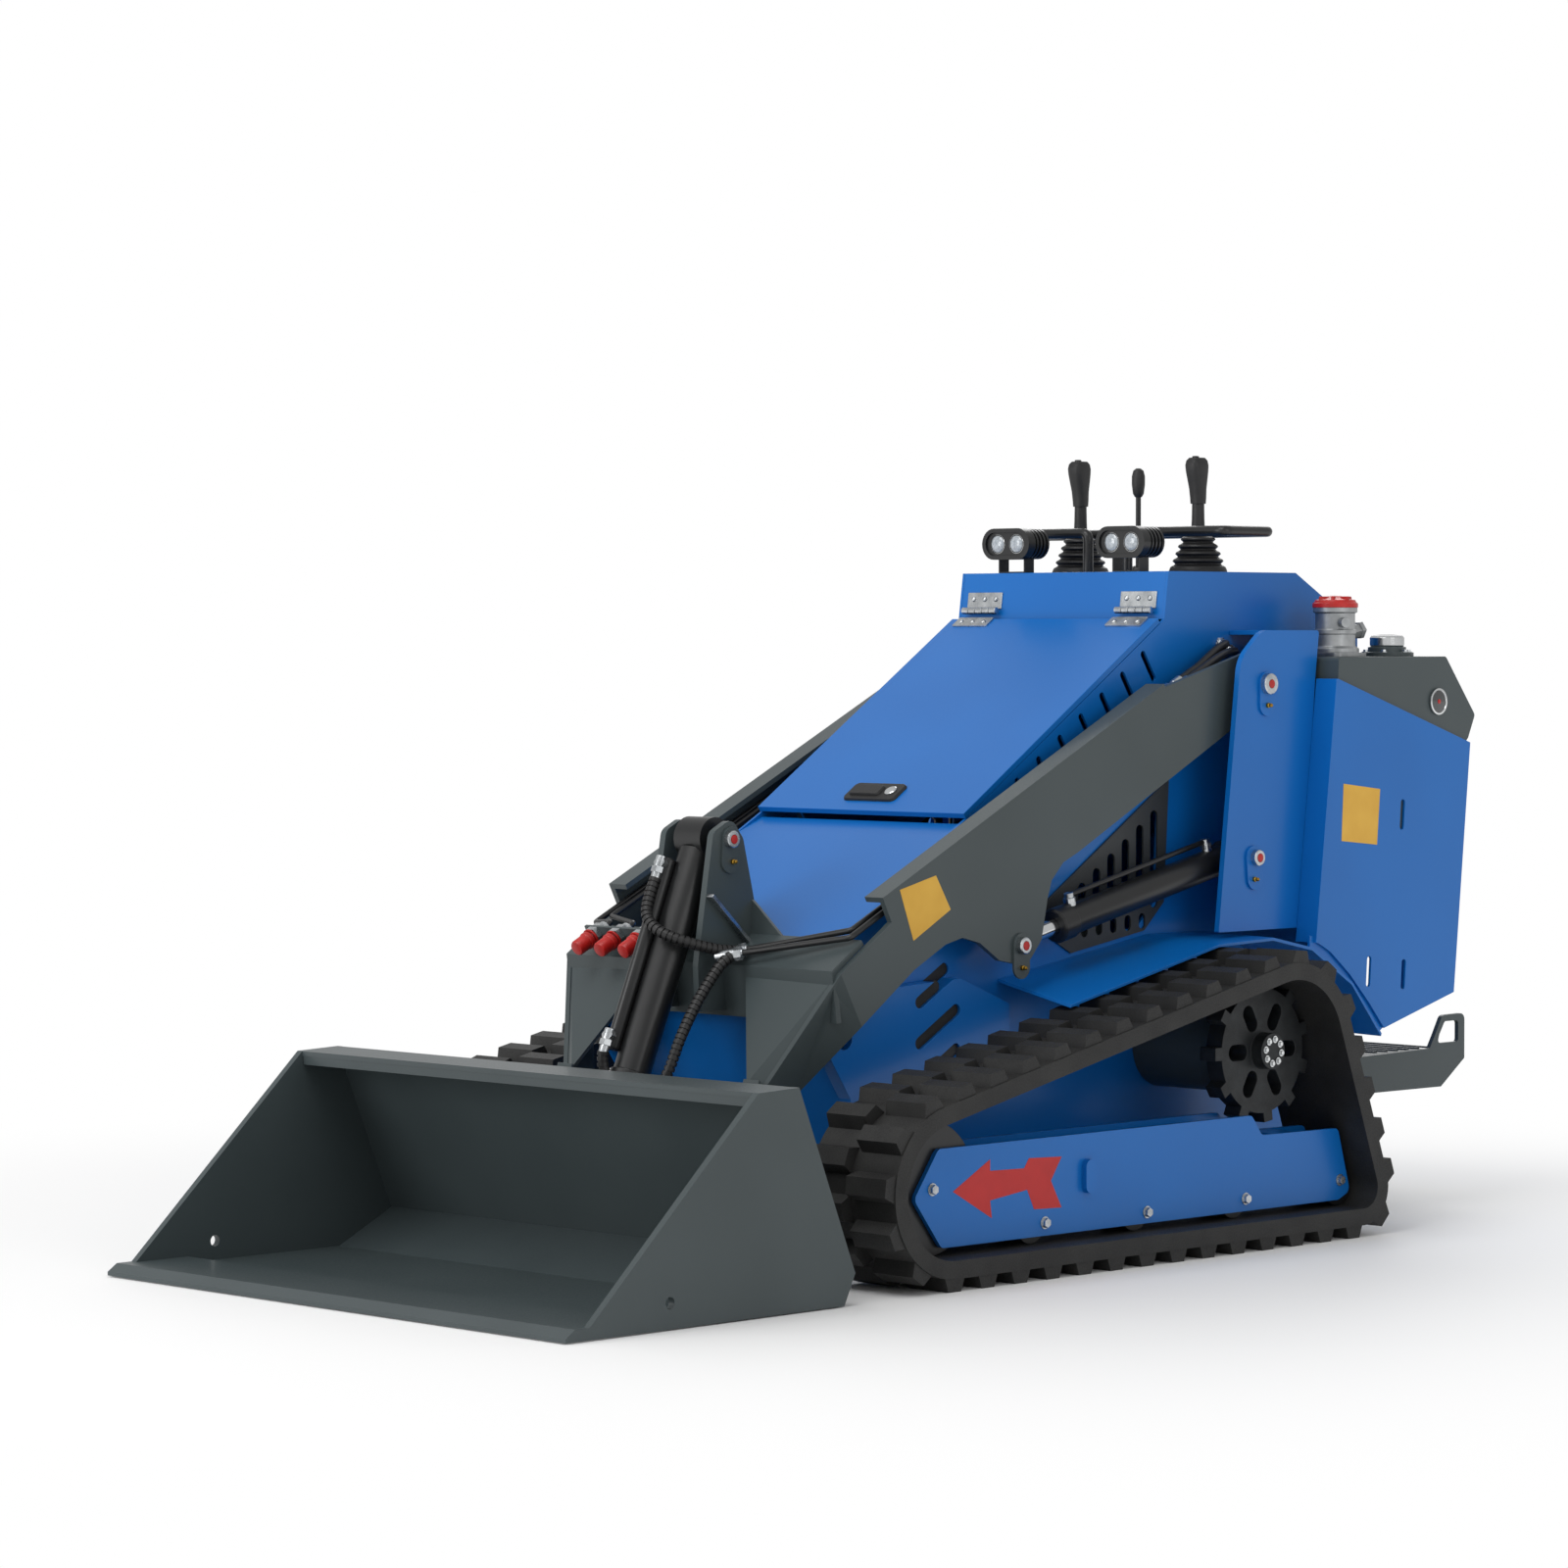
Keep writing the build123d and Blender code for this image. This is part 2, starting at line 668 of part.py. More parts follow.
with BuildPart() as coupler:
    with BuildSketch(Plane.XZ.offset(coupler_half)):
        outline([behind(press_gap, 20), behind(press_gap, 300), behind(coupler_plate, 300), behind(coupler_plate, 20)])
    extrude(amount=-2 * coupler_half)
    with BuildSketch(Plane.XZ.offset(40)):
        outline([behind(-50, 60), behind(-50, 240), behind(30, 240), behind(30, 60)])
    extrude(amount=-80, mode=Mode.SUBTRACT)
    for y in (-leg_out - 16, -leg_out + leg_width + 5, leg_out - leg_width - 16, leg_out + 5):
        with BuildSketch(Plane.XZ.offset(-y - 11)):
            outline([(wrist_x - 10, wrist_z - 24), (wrist_x + 20, wrist_z - 22), behind(press_gap, 22),
                     behind(press_gap, 120), (wrist_x - 4, wrist_z + 26), (wrist_x - 26, wrist_z)], [12, 2, 1, 1, 12, 12])
        extrude(amount=11)
    for side in (1, -1):
        plane, depth = slab(side, leg_out - leg_width - 18, leg_out + 18)
        with BuildSketch(plane):
            with Locations((wrist_x, wrist_z)):
                Circle(wrist_pin_r)
        extrude(amount=depth)
        plane, depth = slab(side, 36, 48)
        with BuildSketch(plane):
            outline([behind(press_gap, 80), behind(press_gap, 240), (link_x - 10, link_z + 26),
                     (link_x - 26, link_z), (link_x - 10, link_z - 26)], [1, 1, 12, 12, 12])
        extrude(amount=depth)
save(coupler.part, "quick_coupler")

# Bucket
with BuildPart() as bucket:
    shell = [bucket_top, (bucket_top_back[0] + 2, bucket_top_back[1]), bucket_heel, bucket_heel_low, bucket_toe]
    with BuildSketch(Plane.XZ.offset(bucket_half - bucket_plate)):
        band(shell, bucket_sheet)
    extrude(amount=-2 * (bucket_half - bucket_plate))
    for side in (1, -1):
        plane, depth = slab(side, bucket_half - bucket_plate, bucket_half)
        with BuildSketch(plane):
            outline([bucket_top, bucket_top_back, bucket_heel, bucket_heel_low, (1150, 2), (1148, 14)])
        extrude(amount=depth)
    with BuildSketch(Plane.XZ.offset(bucket_half)):
        outline([(1040, 2), (lip_x, 2), (lip_x, 8), (1170, 20), (1040, 20)])
    extrude(amount=-2 * bucket_half)
save(bucket.part, "bucket")
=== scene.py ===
import json
import math

import bmesh
import bpy
from mathutils import Matrix, Vector

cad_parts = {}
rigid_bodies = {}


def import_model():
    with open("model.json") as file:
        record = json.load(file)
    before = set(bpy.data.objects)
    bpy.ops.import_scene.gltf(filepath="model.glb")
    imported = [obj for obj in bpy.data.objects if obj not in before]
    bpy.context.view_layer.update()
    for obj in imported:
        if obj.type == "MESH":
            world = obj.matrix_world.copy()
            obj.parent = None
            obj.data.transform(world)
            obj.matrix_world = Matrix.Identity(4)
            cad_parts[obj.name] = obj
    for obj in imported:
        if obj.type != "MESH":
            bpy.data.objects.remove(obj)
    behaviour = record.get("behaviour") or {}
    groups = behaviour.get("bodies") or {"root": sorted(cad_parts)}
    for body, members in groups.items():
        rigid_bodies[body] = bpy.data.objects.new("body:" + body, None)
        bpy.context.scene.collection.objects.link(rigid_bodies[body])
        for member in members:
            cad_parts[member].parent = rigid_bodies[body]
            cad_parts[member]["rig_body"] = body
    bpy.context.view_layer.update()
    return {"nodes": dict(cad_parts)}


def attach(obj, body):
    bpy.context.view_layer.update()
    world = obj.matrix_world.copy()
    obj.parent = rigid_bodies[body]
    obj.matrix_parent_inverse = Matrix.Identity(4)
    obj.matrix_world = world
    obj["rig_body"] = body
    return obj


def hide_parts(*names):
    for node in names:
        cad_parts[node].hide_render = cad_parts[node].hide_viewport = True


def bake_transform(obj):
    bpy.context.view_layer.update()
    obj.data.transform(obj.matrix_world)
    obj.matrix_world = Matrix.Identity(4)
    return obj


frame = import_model()
nodes = frame["nodes"]
bodyOfNode = {name: node["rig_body"] for name, node in nodes.items()}
print("frame loaded:", len(nodes), "nodes")

# Shapes are given in millimetres, and Blender works in metres.
mm = 0.001


# Colours are written as sRGB hex values and turned to linear here.
def toLinear(hexColour):
    parts = [int(hexColour[i:i + 2], 16) / 255 for i in (1, 3, 5)]
    return tuple(p / 12.92 if p <= 0.04045 else ((p + 0.055) / 1.055) ** 2.4 for p in parts) + (1.0,)


# One node with its settings and links: a key that is an input sets it, any other is a property of the node.
def addNode(tree, kind, settings=None, links=None):
    node = tree.nodes.new(kind)
    for key, value in (settings or {}).items():
        if key in node.inputs:
            node.inputs[key].default_value = value
        else:
            setattr(node, key, value)
    for key, source in (links or {}).items():
        tree.links.new(source, node.inputs[key])
    return node


# A material with an empty tree.
def newMaterial(name):
    material = bpy.data.materials.new(name)
    material.use_nodes = True
    material.node_tree.nodes.clear()
    return material, material.node_tree


# Speckle on Object coordinates: noise whose grain is about that many metres across.
def grain(tree, size, detail):
    place = addNode(tree, "ShaderNodeTexCoord")
    noise = addNode(tree, "ShaderNodeTexNoise", {"Scale": 1 / size, "Detail": detail, "Roughness": 0.55},
                    {"Vector": place.outputs["Object"]})
    return noise.outputs["Fac"]


# Noise stays mostly between 0.3 and 0.7, which is spread over the wanted range.
def remap(tree, value, low, high):
    node = addNode(tree, "ShaderNodeMapRange", {"From Min": 0.3, "From Max": 0.7, "To Min": low, "To Max": high},
                   {"Value": value})
    return node.outputs["Result"]


# A Mix node has inputs of one name for each type of data, so its two colours are set by their number.
def tint(tree, value, dark, light):
    node = addNode(tree, "ShaderNodeMix", {"data_type": "RGBA"}, {"Factor": value})
    node.inputs[6].default_value = toLinear(dark)
    node.inputs[7].default_value = toLinear(light)
    return node.outputs[2]


bumpDepth = 0.0004


# Paint, plastic, rubber and metal share this build: two tints by a broad grain, roughness and bump by a fine one.
def finishMaterial(name, look):
    dark, light, broadSize, fineSize, rough, spread, bump, metallic, shaderSettings = look
    material, tree = newMaterial(name)
    broad, fine = grain(tree, broadSize, 2.0), grain(tree, fineSize, 4.0)
    links = {
        "Base Color": tint(tree, remap(tree, broad, 0, 1), dark, light),
        "Roughness": remap(tree, fine, rough - spread, rough + spread),
        "Normal": addNode(tree, "ShaderNodeBump", {"Strength": bump, "Distance": bumpDepth},
                          {"Height": fine}).outputs["Normal"],
    }
    shader = addNode(tree, "ShaderNodeBsdfPrincipled", {"Metallic": metallic, **shaderSettings}, links)
    addNode(tree, "ShaderNodeOutputMaterial", None, {"Surface": shader.outputs["BSDF"]})
    return material


coat = {"Coat Weight": 0.1, "Coat Roughness": 0.15, "Specular IOR Level": 0.35}
clear = {"Coat Weight": 1.0, "Coat Roughness": 0.03}
# The fine grain is real for powder coat and rubber. On metals, nylon and vinyl it is under 0.2 mm in the real
# ones, and drawn at about 1 or 2 mm so that it shows.
looks = {
    # dark tint, light tint, broad grain, fine grain (m), roughness, its spread, bump, metallic, other settings
    # Powder coat, baked: a smooth gloss skin with a faint orange peel that breaks up reflections.
    "bluePowderCoat": ("#0562b0", "#0968b8", 0.35, 0.0035, 0.33, 0.03, 0.05, 0.0, coat),
    # The same coat in anthracite, a little duller.
    "greyPowderCoat": ("#3d4648", "#444d4f", 0.3, 0.003, 0.38, 0.04, 0.06, 0.0, coat),
    # Sheet steel of the grilles, painted dark and nearly matt.
    "grillePaint": ("#2c3033", "#34383b", 0.2, 0.002, 0.45, 0.05, 0.06, 0.0, {}),
    # Sprayed satin black enamel on the cylinders and bars: long soft highlights.
    "blackEnamel": ("#121314", "#1a1b1c", 0.2, 0.002, 0.34, 0.05, 0.05, 0.0, {}),
    # Hard chrome, ground bright: it mirrors its surroundings.
    "hardChrome": ("#c9cbcc", "#dcdedf", 0.05, 0.0012, 0.12, 0.04, 0.03, 1.0, {}),
    # Zinc plated steel of bolts, hinges and hose ends: pale, with clouded reflections.
    "zincPlate": ("#a9adb0", "#cfd2d4", 0.02, 0.001, 0.28, 0.08, 0.05, 1.0, {}),
    # Turned brass of the grease nipples.
    "brass": ("#8d6b2a", "#b8913f", 0.01, 0.001, 0.3, 0.06, 0.05, 1.0, {}),
    # Die-cast aluminium of the oil filter's housing: dull and slightly sandy.
    "castAluminium": ("#8f9294", "#b4b6b7", 0.03, 0.0012, 0.42, 0.08, 0.2, 0.9, {}),
    # Moulded natural rubber with carbon black: matt, with a dusty bloom.
    "trackRubber": ("#141414", "#232322", 0.06, 0.0025, 0.62, 0.12, 0.3, 0.0, {}),
    # Extruded cover of hydraulic hose: smoother than the tracks, with a narrow sheen.
    "hoseRubber": ("#131314", "#1d1d1e", 0.02, 0.0015, 0.42, 0.08, 0.12, 0.0, {}),
    # Cast steel of the sprocket, dark from its primer.
    "castSteel": ("#1b1d1f", "#2a2d2f", 0.03, 0.002, 0.45, 0.1, 0.3, 0.35, {}),
    # Injection moulded black nylon and soft grips: even and dull.
    "blackNylon": ("#101011", "#1b1b1c", 0.04, 0.0012, 0.5, 0.08, 0.2, 0.0, {}),
    # Moulded red polyethylene of caps and plugs: waxy.
    "redPlastic": ("#a5130f", "#bd1b16", 0.02, 0.0012, 0.4, 0.06, 0.1, 0.0, {}),
    # Vinyl signs: the red arrow and the blank yellow plates, flat and even.
    "redVinyl": ("#b3110e", "#be1714", 0.05, 0.002, 0.35, 0.04, 0.03, 0.0, {}),
    "yellowVinyl": ("#d3a02f", "#dcac3a", 0.05, 0.002, 0.38, 0.04, 0.03, 0.0, {}),
    # Lamp lenses and the gauge's face, behind clear polycarbonate with sharp highlights.
    "lampLens": ("#8d949a", "#b9c0c5", 0.004, 0.0015, 0.12, 0.03, 0.3, 0.0, clear),
    "darkDial": ("#15181a", "#1f2326", 0.01, 0.001, 0.2, 0.03, 0.02, 0.0, clear),
}
materials = {name: finishMaterial(name, look) for name, look in looks.items()}
print("materials:", len(materials))

# Edges sharper than this, in degrees, are kept sharp in the shading and rounded by a bevel.
sharpAngle = 32


def shadeByAngle(mesh):
    work = bmesh.new()
    work.from_mesh(mesh)
    for face in work.faces:
        face.smooth = True
    for edge in work.edges:
        edge.smooth = len(edge.link_faces) == 2 and edge.calc_face_angle(math.pi) < math.radians(sharpAngle)
    work.to_mesh(mesh)
    work.free()


def roundEdges(piece, width):
    bevel = piece.modifiers.new("roundedEdges", "BEVEL")
    bevel.width = width
    bevel.segments = 2
    bevel.limit_method = "ANGLE"
    bevel.angle_limit = math.radians(sharpAngle)
    bevel.use_clamp_overlap = True
    bevel.harden_normals = True


# Axes of a shape: its outline lies in the first two, in millimetres, and it is extruded or turned along the third.
# The first is the direction along, as far as that lies across the third.
def axes(origin, out, along=(0, 1, 0)):
    third = Vector(out).normalized()
    first = Vector(along)
    first = (first - third * first.dot(third)).normalized()
    frameAxes = Matrix((first, third.cross(first), third)).transposed().to_4x4()
    return Matrix.Translation(Vector(origin)) @ frameAxes


# Axes of something that stands on a face which looks to the machine's left.
def facing(x, y, z):
    return axes((x, y, z), (0, 1, 0), (1, 0, 0))


# Axes of something that stands upright on a deck.
def standing(x, y, z=0):
    return Matrix.Translation((x, y, z))


# An outline in x and z, extruded along y; one in x and y, extruded upward; one in y and z, extruded forward.
sideways = Matrix(((1, 0, 0, 0), (0, 0, 1, 0), (0, 1, 0, 0), (0, 0, 0, 1)))
upward = Matrix.Identity(4)
forward = Matrix(((0, 0, 1, 0), (1, 0, 0, 0), (0, 1, 0, 0), (0, 0, 0, 1)))


# Shapes are pairs of vertices and faces. A prism may narrow by a share of its size towards its far end.
def prism(points, low, high, place=sideways, taper=0.0):
    count = len(points)
    far = shrunk(points, 1 - taper)
    vertices = [place @ Vector((u, v, low)) for u, v in points] + [place @ Vector((u, v, high)) for u, v in far]
    faces = [tuple(range(count))[::-1], tuple(range(count, 2 * count))]
    faces += [(i, (i + 1) % count, count + (i + 1) % count, count + i) for i in range(count)]
    return vertices, faces


# A sheet on one side of the machine: its outline in x and z, and its two faces' distances from the middle.
def sheetOf(part):
    return prism(part["outline"], *part["faces"])


# A profile of radius and height pairs, turned round the third axis; it is closed at both ends.
def turned(profile, place=upward, steps=32):
    vertices, faces = [], []
    for radius, height in profile:
        for u, v in ring(0, 0, radius, steps):
            vertices.append(place @ Vector((u, v, height)))
    for row in range(len(profile) - 1):
        for i in range(steps):
            a, b = row * steps + i, row * steps + (i + 1) % steps
            faces.append((a, b, b + steps, a + steps))
    faces.append(tuple(range(steps))[::-1])
    faces.append(tuple(range((len(profile) - 1) * steps, len(profile) * steps)))
    return vertices, faces


# Outlines are lists of points: rolled by an angle and moved, a box with round corners, a slot, a circle.
def rolled(points, u, v, lean):
    c, s = math.cos(math.radians(lean)), math.sin(math.radians(lean))
    return [(u + x * c - y * s, v + x * s + y * c) for x, y in points]


def roundBox(u, v, width, height, radius, lean=0, steps=5):
    points = []
    for su, sv, first in ((1, 1, 0), (-1, 1, 90), (-1, -1, 180), (1, -1, 270)):
        for i in range(steps + 1):
            angle = math.radians(first + 90 * i / steps)
            points.append((su * (width / 2 - radius) + radius * math.cos(angle),
                           sv * (height / 2 - radius) + radius * math.sin(angle)))
    return rolled(points, u, v, lean)


# The radius stays a hair under half the width, so that no two points of the ends coincide.
def roundSlot(u, v, length, width, lean=90):
    return roundBox(u, v, length, width, width / 2 - 0.01, lean, 7)


def ring(u, v, radius, sides=32, first=0.0):
    return [(u + radius * math.cos(math.radians(first + 360 * i / sides)),
             v + radius * math.sin(math.radians(first + 360 * i / sides))) for i in range(sides)]


def shrunk(points, share):
    middle = (sum(p[0] for p in points) / len(points), sum(p[1] for p in points) / len(points))
    return [(middle[0] + (u - middle[0]) * share, middle[1] + (v - middle[1]) * share) for u, v in points]


# A sheet bent along the points, its thickness to the left of the run.
def bentSheet(points, thick):
    normals = []
    for a, b in zip(points, points[1:]):
        span = math.dist(a, b)
        normals.append(((a[1] - b[1]) / span, (b[0] - a[0]) / span))
    moved = []
    for point, n, m in zip(points, [normals[0], *normals], [*normals, normals[-1]]):
        reach = thick / (1 + n[0] * m[0] + n[1] * m[1])
        moved.append((point[0] + reach * (n[0] + m[0]), point[1] + reach * (n[1] + m[1])))
    return [*points, *reversed(moved)]


def mirrored(shapes):
    return [([Vector((v.x, -v.y, v.z)) for v in vertices], faces) for vertices, faces in shapes]


def meshOf(shapes):
    work = bmesh.new()
    for vertices, faces in shapes:
        made = [work.verts.new(v * mm) for v in vertices]
        for face in faces:
            work.faces.new([made[i] for i in face])
    bmesh.ops.recalc_face_normals(work, faces=work.faces)
    mesh = bpy.data.meshes.new("shapes")
    work.to_mesh(mesh)
    work.free()
    return mesh


# A piece from shapes or from a mesh. It rides one body; when body holds two names and the points where a bend starts
# and ends, the piece is only fixed in place and rides no body.
def addPiece(name, source, look, body, rounding=0.6, replaced=()):
    mesh = meshOf(source) if isinstance(source, list) else source
    mesh.name = name
    shadeByAngle(mesh)
    mesh.materials.append(materials[look])
    piece = bpy.data.objects.new(name, mesh)
    bpy.context.scene.collection.objects.link(piece)
    if rounding:
        roundEdges(piece, rounding * mm)
    if isinstance(body, str):
        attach(piece, body)
    else:
        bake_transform(piece)
    if replaced:
        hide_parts(*replaced)
    return piece


# Shapes are made for the left side, and mirrored for the right.
sides = ((1, "left"), (-1, "right"))


def onSide(side, shapes):
    return shapes if side > 0 else mirrored(shapes)


def addPair(name, shapes, look, body, rounding=0.6, replaced=None):
    for side, hand in sides:
        addPiece(name + hand.capitalize(), onSide(side, shapes), look, body, rounding,
                 [f"{replaced}_{hand}"] if replaced else ())


# What is left of an object in the scene once its modifiers are done, as a plain mesh; the object goes.
def evaluatedMesh(holder):
    mesh = bpy.data.meshes.new_from_object(holder.evaluated_get(bpy.context.evaluated_depsgraph_get()))
    bpy.data.objects.remove(holder)
    return mesh


def linked(name, data):
    holder = bpy.data.objects.new(name, data)
    bpy.context.scene.collection.objects.link(holder)
    return holder


# The mesh with the shapes cut out of it.
def cutOut(mesh, shapes):
    piece, cutter = linked("whole", mesh), linked("cutter", meshOf(shapes))
    cut = piece.modifiers.new("cut", "BOOLEAN")
    cut.operation = "DIFFERENCE"
    cut.solver = "EXACT"
    cut.object = cutter
    result = evaluatedMesh(piece)
    bpy.data.objects.remove(cutter)
    return result


# A mesh tube of that radius along a NURBS curve through the route; a radius of 0 gives the bare line.
def tubeMesh(points, radius, resolution=10):
    curve = bpy.data.curves.new("route", "CURVE")
    curve.dimensions = "3D"
    curve.bevel_depth = radius * mm
    curve.bevel_resolution = 6
    curve.use_fill_caps = True
    curve.resolution_u = resolution
    spline = curve.splines.new("NURBS")
    spline.points.add(len(points) - 1)
    for point, place in zip(spline.points, points):
        point.co = (place[0] * mm, place[1] * mm, place[2] * mm, 1)
    spline.order_u = 3
    spline.use_endpoint_u = True
    return evaluatedMesh(linked("route", curve))


# Bars and steel lines: straight runs with a short bend at each corner.
def barMesh(points, radius, bend):
    route = [points[0]]
    for a, b, c in zip(points, points[1:], points[2:]):
        before, after = (Vector(a) - Vector(b)).normalized(), (Vector(c) - Vector(b)).normalized()
        route += [tuple(Vector(b) + before * bend), b, tuple(Vector(b) + after * bend)]
    return tubeMesh([*route, points[-1]], radius, 8)


# A hose is 14 mm thick. Its spiral guard is drawn as short beads along its line, one for each turn.
hoseRadius = 7
guardSizes = {"Pitch": 0.0085, "Bead Radius": 0.0092, "Bead Length": 0.0062}
beadSides = 14


def makeGuardTree():
    tree = bpy.data.node_groups.new("spiralGuard", "GeometryNodeTree")
    tree.interface.new_socket("Geometry", in_out="INPUT", socket_type="NodeSocketGeometry")
    for name in guardSizes:
        tree.interface.new_socket(name, in_out="INPUT", socket_type="NodeSocketFloat")
    tree.interface.new_socket("Geometry", in_out="OUTPUT", socket_type="NodeSocketGeometry")
    sizes = addNode(tree, "NodeGroupInput")
    line = addNode(tree, "GeometryNodeMeshToCurve", None, {"Mesh": sizes.outputs["Geometry"]})
    steps = addNode(tree, "GeometryNodeCurveToPoints", {"mode": "LENGTH"},
                    {"Curve": line.outputs["Curve"], "Length": sizes.outputs["Pitch"]})
    bead = addNode(tree, "GeometryNodeMeshCylinder", {"Vertices": beadSides},
                   {"Radius": sizes.outputs["Bead Radius"], "Depth": sizes.outputs["Bead Length"]})
    beads = addNode(tree, "GeometryNodeInstanceOnPoints", None,
                    {"Points": steps.outputs["Points"], "Instance": bead.outputs["Mesh"],
                     "Rotation": steps.outputs["Rotation"]})
    real = addNode(tree, "GeometryNodeRealizeInstances", None, {"Geometry": beads.outputs["Instances"]})
    finish = addNode(tree, "GeometryNodeSetMaterial", {"Material": materials["blackNylon"]},
                     {"Geometry": real.outputs["Geometry"]})
    addNode(tree, "NodeGroupOutput", None, {"Geometry": finish.outputs["Geometry"]})
    return tree


# What a Geometry Nodes tree makes from a mesh, as a plain mesh.
def grown(mesh, tree, sizes):
    holder = linked("holder", mesh)
    growth = holder.modifiers.new("growth", "NODES")
    growth.node_group = tree
    for socket in tree.interface.items_tree:
        if socket.name in sizes:
            growth[socket.identifier] = sizes[socket.name]
    return evaluatedMesh(holder)


# A hose along its own line, and its guard if a tree for that is given.
def addHose(name, route, body, guardTree=None):
    lineMesh = tubeMesh(route, 0)
    hose = addPiece(name, tubeMesh(route, hoseRadius), "hoseRubber", body, 0)
    if guardTree:
        addPiece(name + "Guard", grown(lineMesh, guardTree, guardSizes), "blackNylon", body, 0)


# A hexagon bolt on its washer, a domed screw and a nut, on a face that looks along the third axis.
def hexBolt(place, size):
    return [turned([(size + 2, 0), (size + 2, 1.5)], place, 20),
            prism(ring(0, 0, size, 6, 30), 1.5, 1.5 + size * 0.75, place, 0.06)]


def domeScrew(place, size):
    return [turned([(size, 0), (size, 0.8), (size * 0.85, 1.9), (size * 0.5, 2.8), (size * 0.3, 3.0)], place, 20)]


def nut(place, size, low, high):
    return prism(ring(0, 0, size, 6), low, high, place)


def camel(name):
    first, *rest = name.split("_")
    return first + "".join(word.capitalize() for word in rest)


# A copy of a CAD node's mesh whose loose triangles are merged and whose flat faces are joined.
def mergedCopy(name):
    work = bmesh.new()
    work.from_mesh(nodes[name].data)
    bmesh.ops.remove_doubles(work, verts=work.verts, dist=0.00001)
    bmesh.ops.dissolve_limit(work, angle_limit=math.radians(0.6), verts=work.verts, edges=work.edges)
    mesh = bpy.data.meshes.new(camel(name))
    work.to_mesh(mesh)
    work.free()
    return mesh


# Hull sides: the sheet with its vents and slots, and the grille in front of its opening. Outlines are in x and z.
hullSide = {
    "outline": [(-900, 120), (300, 120), (341, 180), (341, 274), (392, 474), (108, 672), (49, 705), (-436, 1027),
                (-447, 1108), (-781, 1108), (-951, 1015), (-951, 640), (-900, 560)],
    "faces": (231, 236), "cut": (225, 245), "rounding": 0.8, "lashingHole": (354, 369, 21),
}
lidCorner, downLid, underLid = (-436, 1027), (0.8331, -0.5531), (-0.5531, -0.8331)
vent = {"first": 77, "pitch": 62, "count": 8, "drop": 43, "length": 60, "width": 12}
skirtSlot = {"x": 142, "heights": (442, 377, 314), "length": 116, "width": 20, "lean": -30}
grille = {
    "outline": [(-127, 558), (-444, 760), (-432, 554), (-382, 508), (-199, 478), (-151, 504)],
    "faces": (236.3, 240.3), "cut": (230, 245), "rounding": 0.5, "openingShare": 0.86,
}
# Short slots follow the grille's lower edge; long ones stand on a level foot and end along its upper edge.
shortSlot = {"x": -196, "z": 514, "pitch": 36, "rise": 2, "count": 6, "length": 26, "width": 16}
longSlot = {"places": range(-190, -407, -36), "foot": 545, "top": 530, "slope": 0.6372, "width": 19}

lidLean = math.degrees(math.atan2(downLid[1], downLid[0]))
vents = []
for i in range(vent["count"]):
    run = vent["first"] + vent["pitch"] * i
    x, z = [corner + down * run + under * vent["drop"] for corner, down, under in zip(lidCorner, downLid, underLid)]
    vents.append(roundSlot(x, z, vent["length"], vent["width"], lidLean + 90))
skirtSlots = [roundSlot(skirtSlot["x"], z, skirtSlot["length"], skirtSlot["width"], skirtSlot["lean"])
              for z in skirtSlot["heights"]]
grilleSlots = [roundSlot(shortSlot["x"] - shortSlot["pitch"] * i, shortSlot["z"] + shortSlot["rise"] * i,
                         shortSlot["length"], shortSlot["width"]) for i in range(shortSlot["count"])]
for x in longSlot["places"]:
    foot, high = longSlot["foot"], longSlot["top"] + (grille["outline"][0][0] - x) * longSlot["slope"]
    grilleSlots.append(roundSlot(x, (high + foot) / 2, high - foot, longSlot["width"]))
holes = [*vents, *skirtSlots, shrunk(grille["outline"], grille["openingShare"]), ring(*hullSide["lashingHole"])]
for side, hand in sides:
    cuts = onSide(side, [prism(points, *hullSide["cut"]) for points in holes])
    slots = onSide(side, [prism(points, *grille["cut"]) for points in grilleSlots])
    sheet, plate = [meshOf(onSide(side, [sheetOf(part)])) for part in (hullSide, grille)]
    addPiece("hullSide" + hand.capitalize(), cutOut(sheet, cuts), "bluePowderCoat", "chassis", hullSide["rounding"],
             [f"hull_side_{hand}"])
    addPiece("grille" + hand.capitalize(), cutOut(plate, slots), "grillePaint", "chassis", grille["rounding"])

# Painted shade: black sheets that fill the slots of the sheet, and those of the skirt in front of it with a little
# play, so that the slots look dark as if shaded inside
skirtLiner = {
    "inSheet": (231.3, 233), "inSkirt": (236.4, 257), "width": 19.6,
    # x, z and length of each; the skirt's upper edge cuts the first one short
    "slots": [(164, 429.3, 66), (142, 377, 115.6), (142, 314, 115.6)],
}
slotShadeShapes = [prism(points, *skirtLiner["inSheet"]) for points in skirtSlots]
for x, z, length in skirtLiner["slots"]:
    slotShadeShapes.append(prism(roundSlot(x, z, length, skirtLiner["width"], skirtSlot["lean"]), *skirtLiner["inSkirt"]))
# These black sheets are painted shade inside the slots.
addPair("skirtLiner", slotShadeShapes, "blackNylon", "chassis", 0)
print("hull sides and grilles")

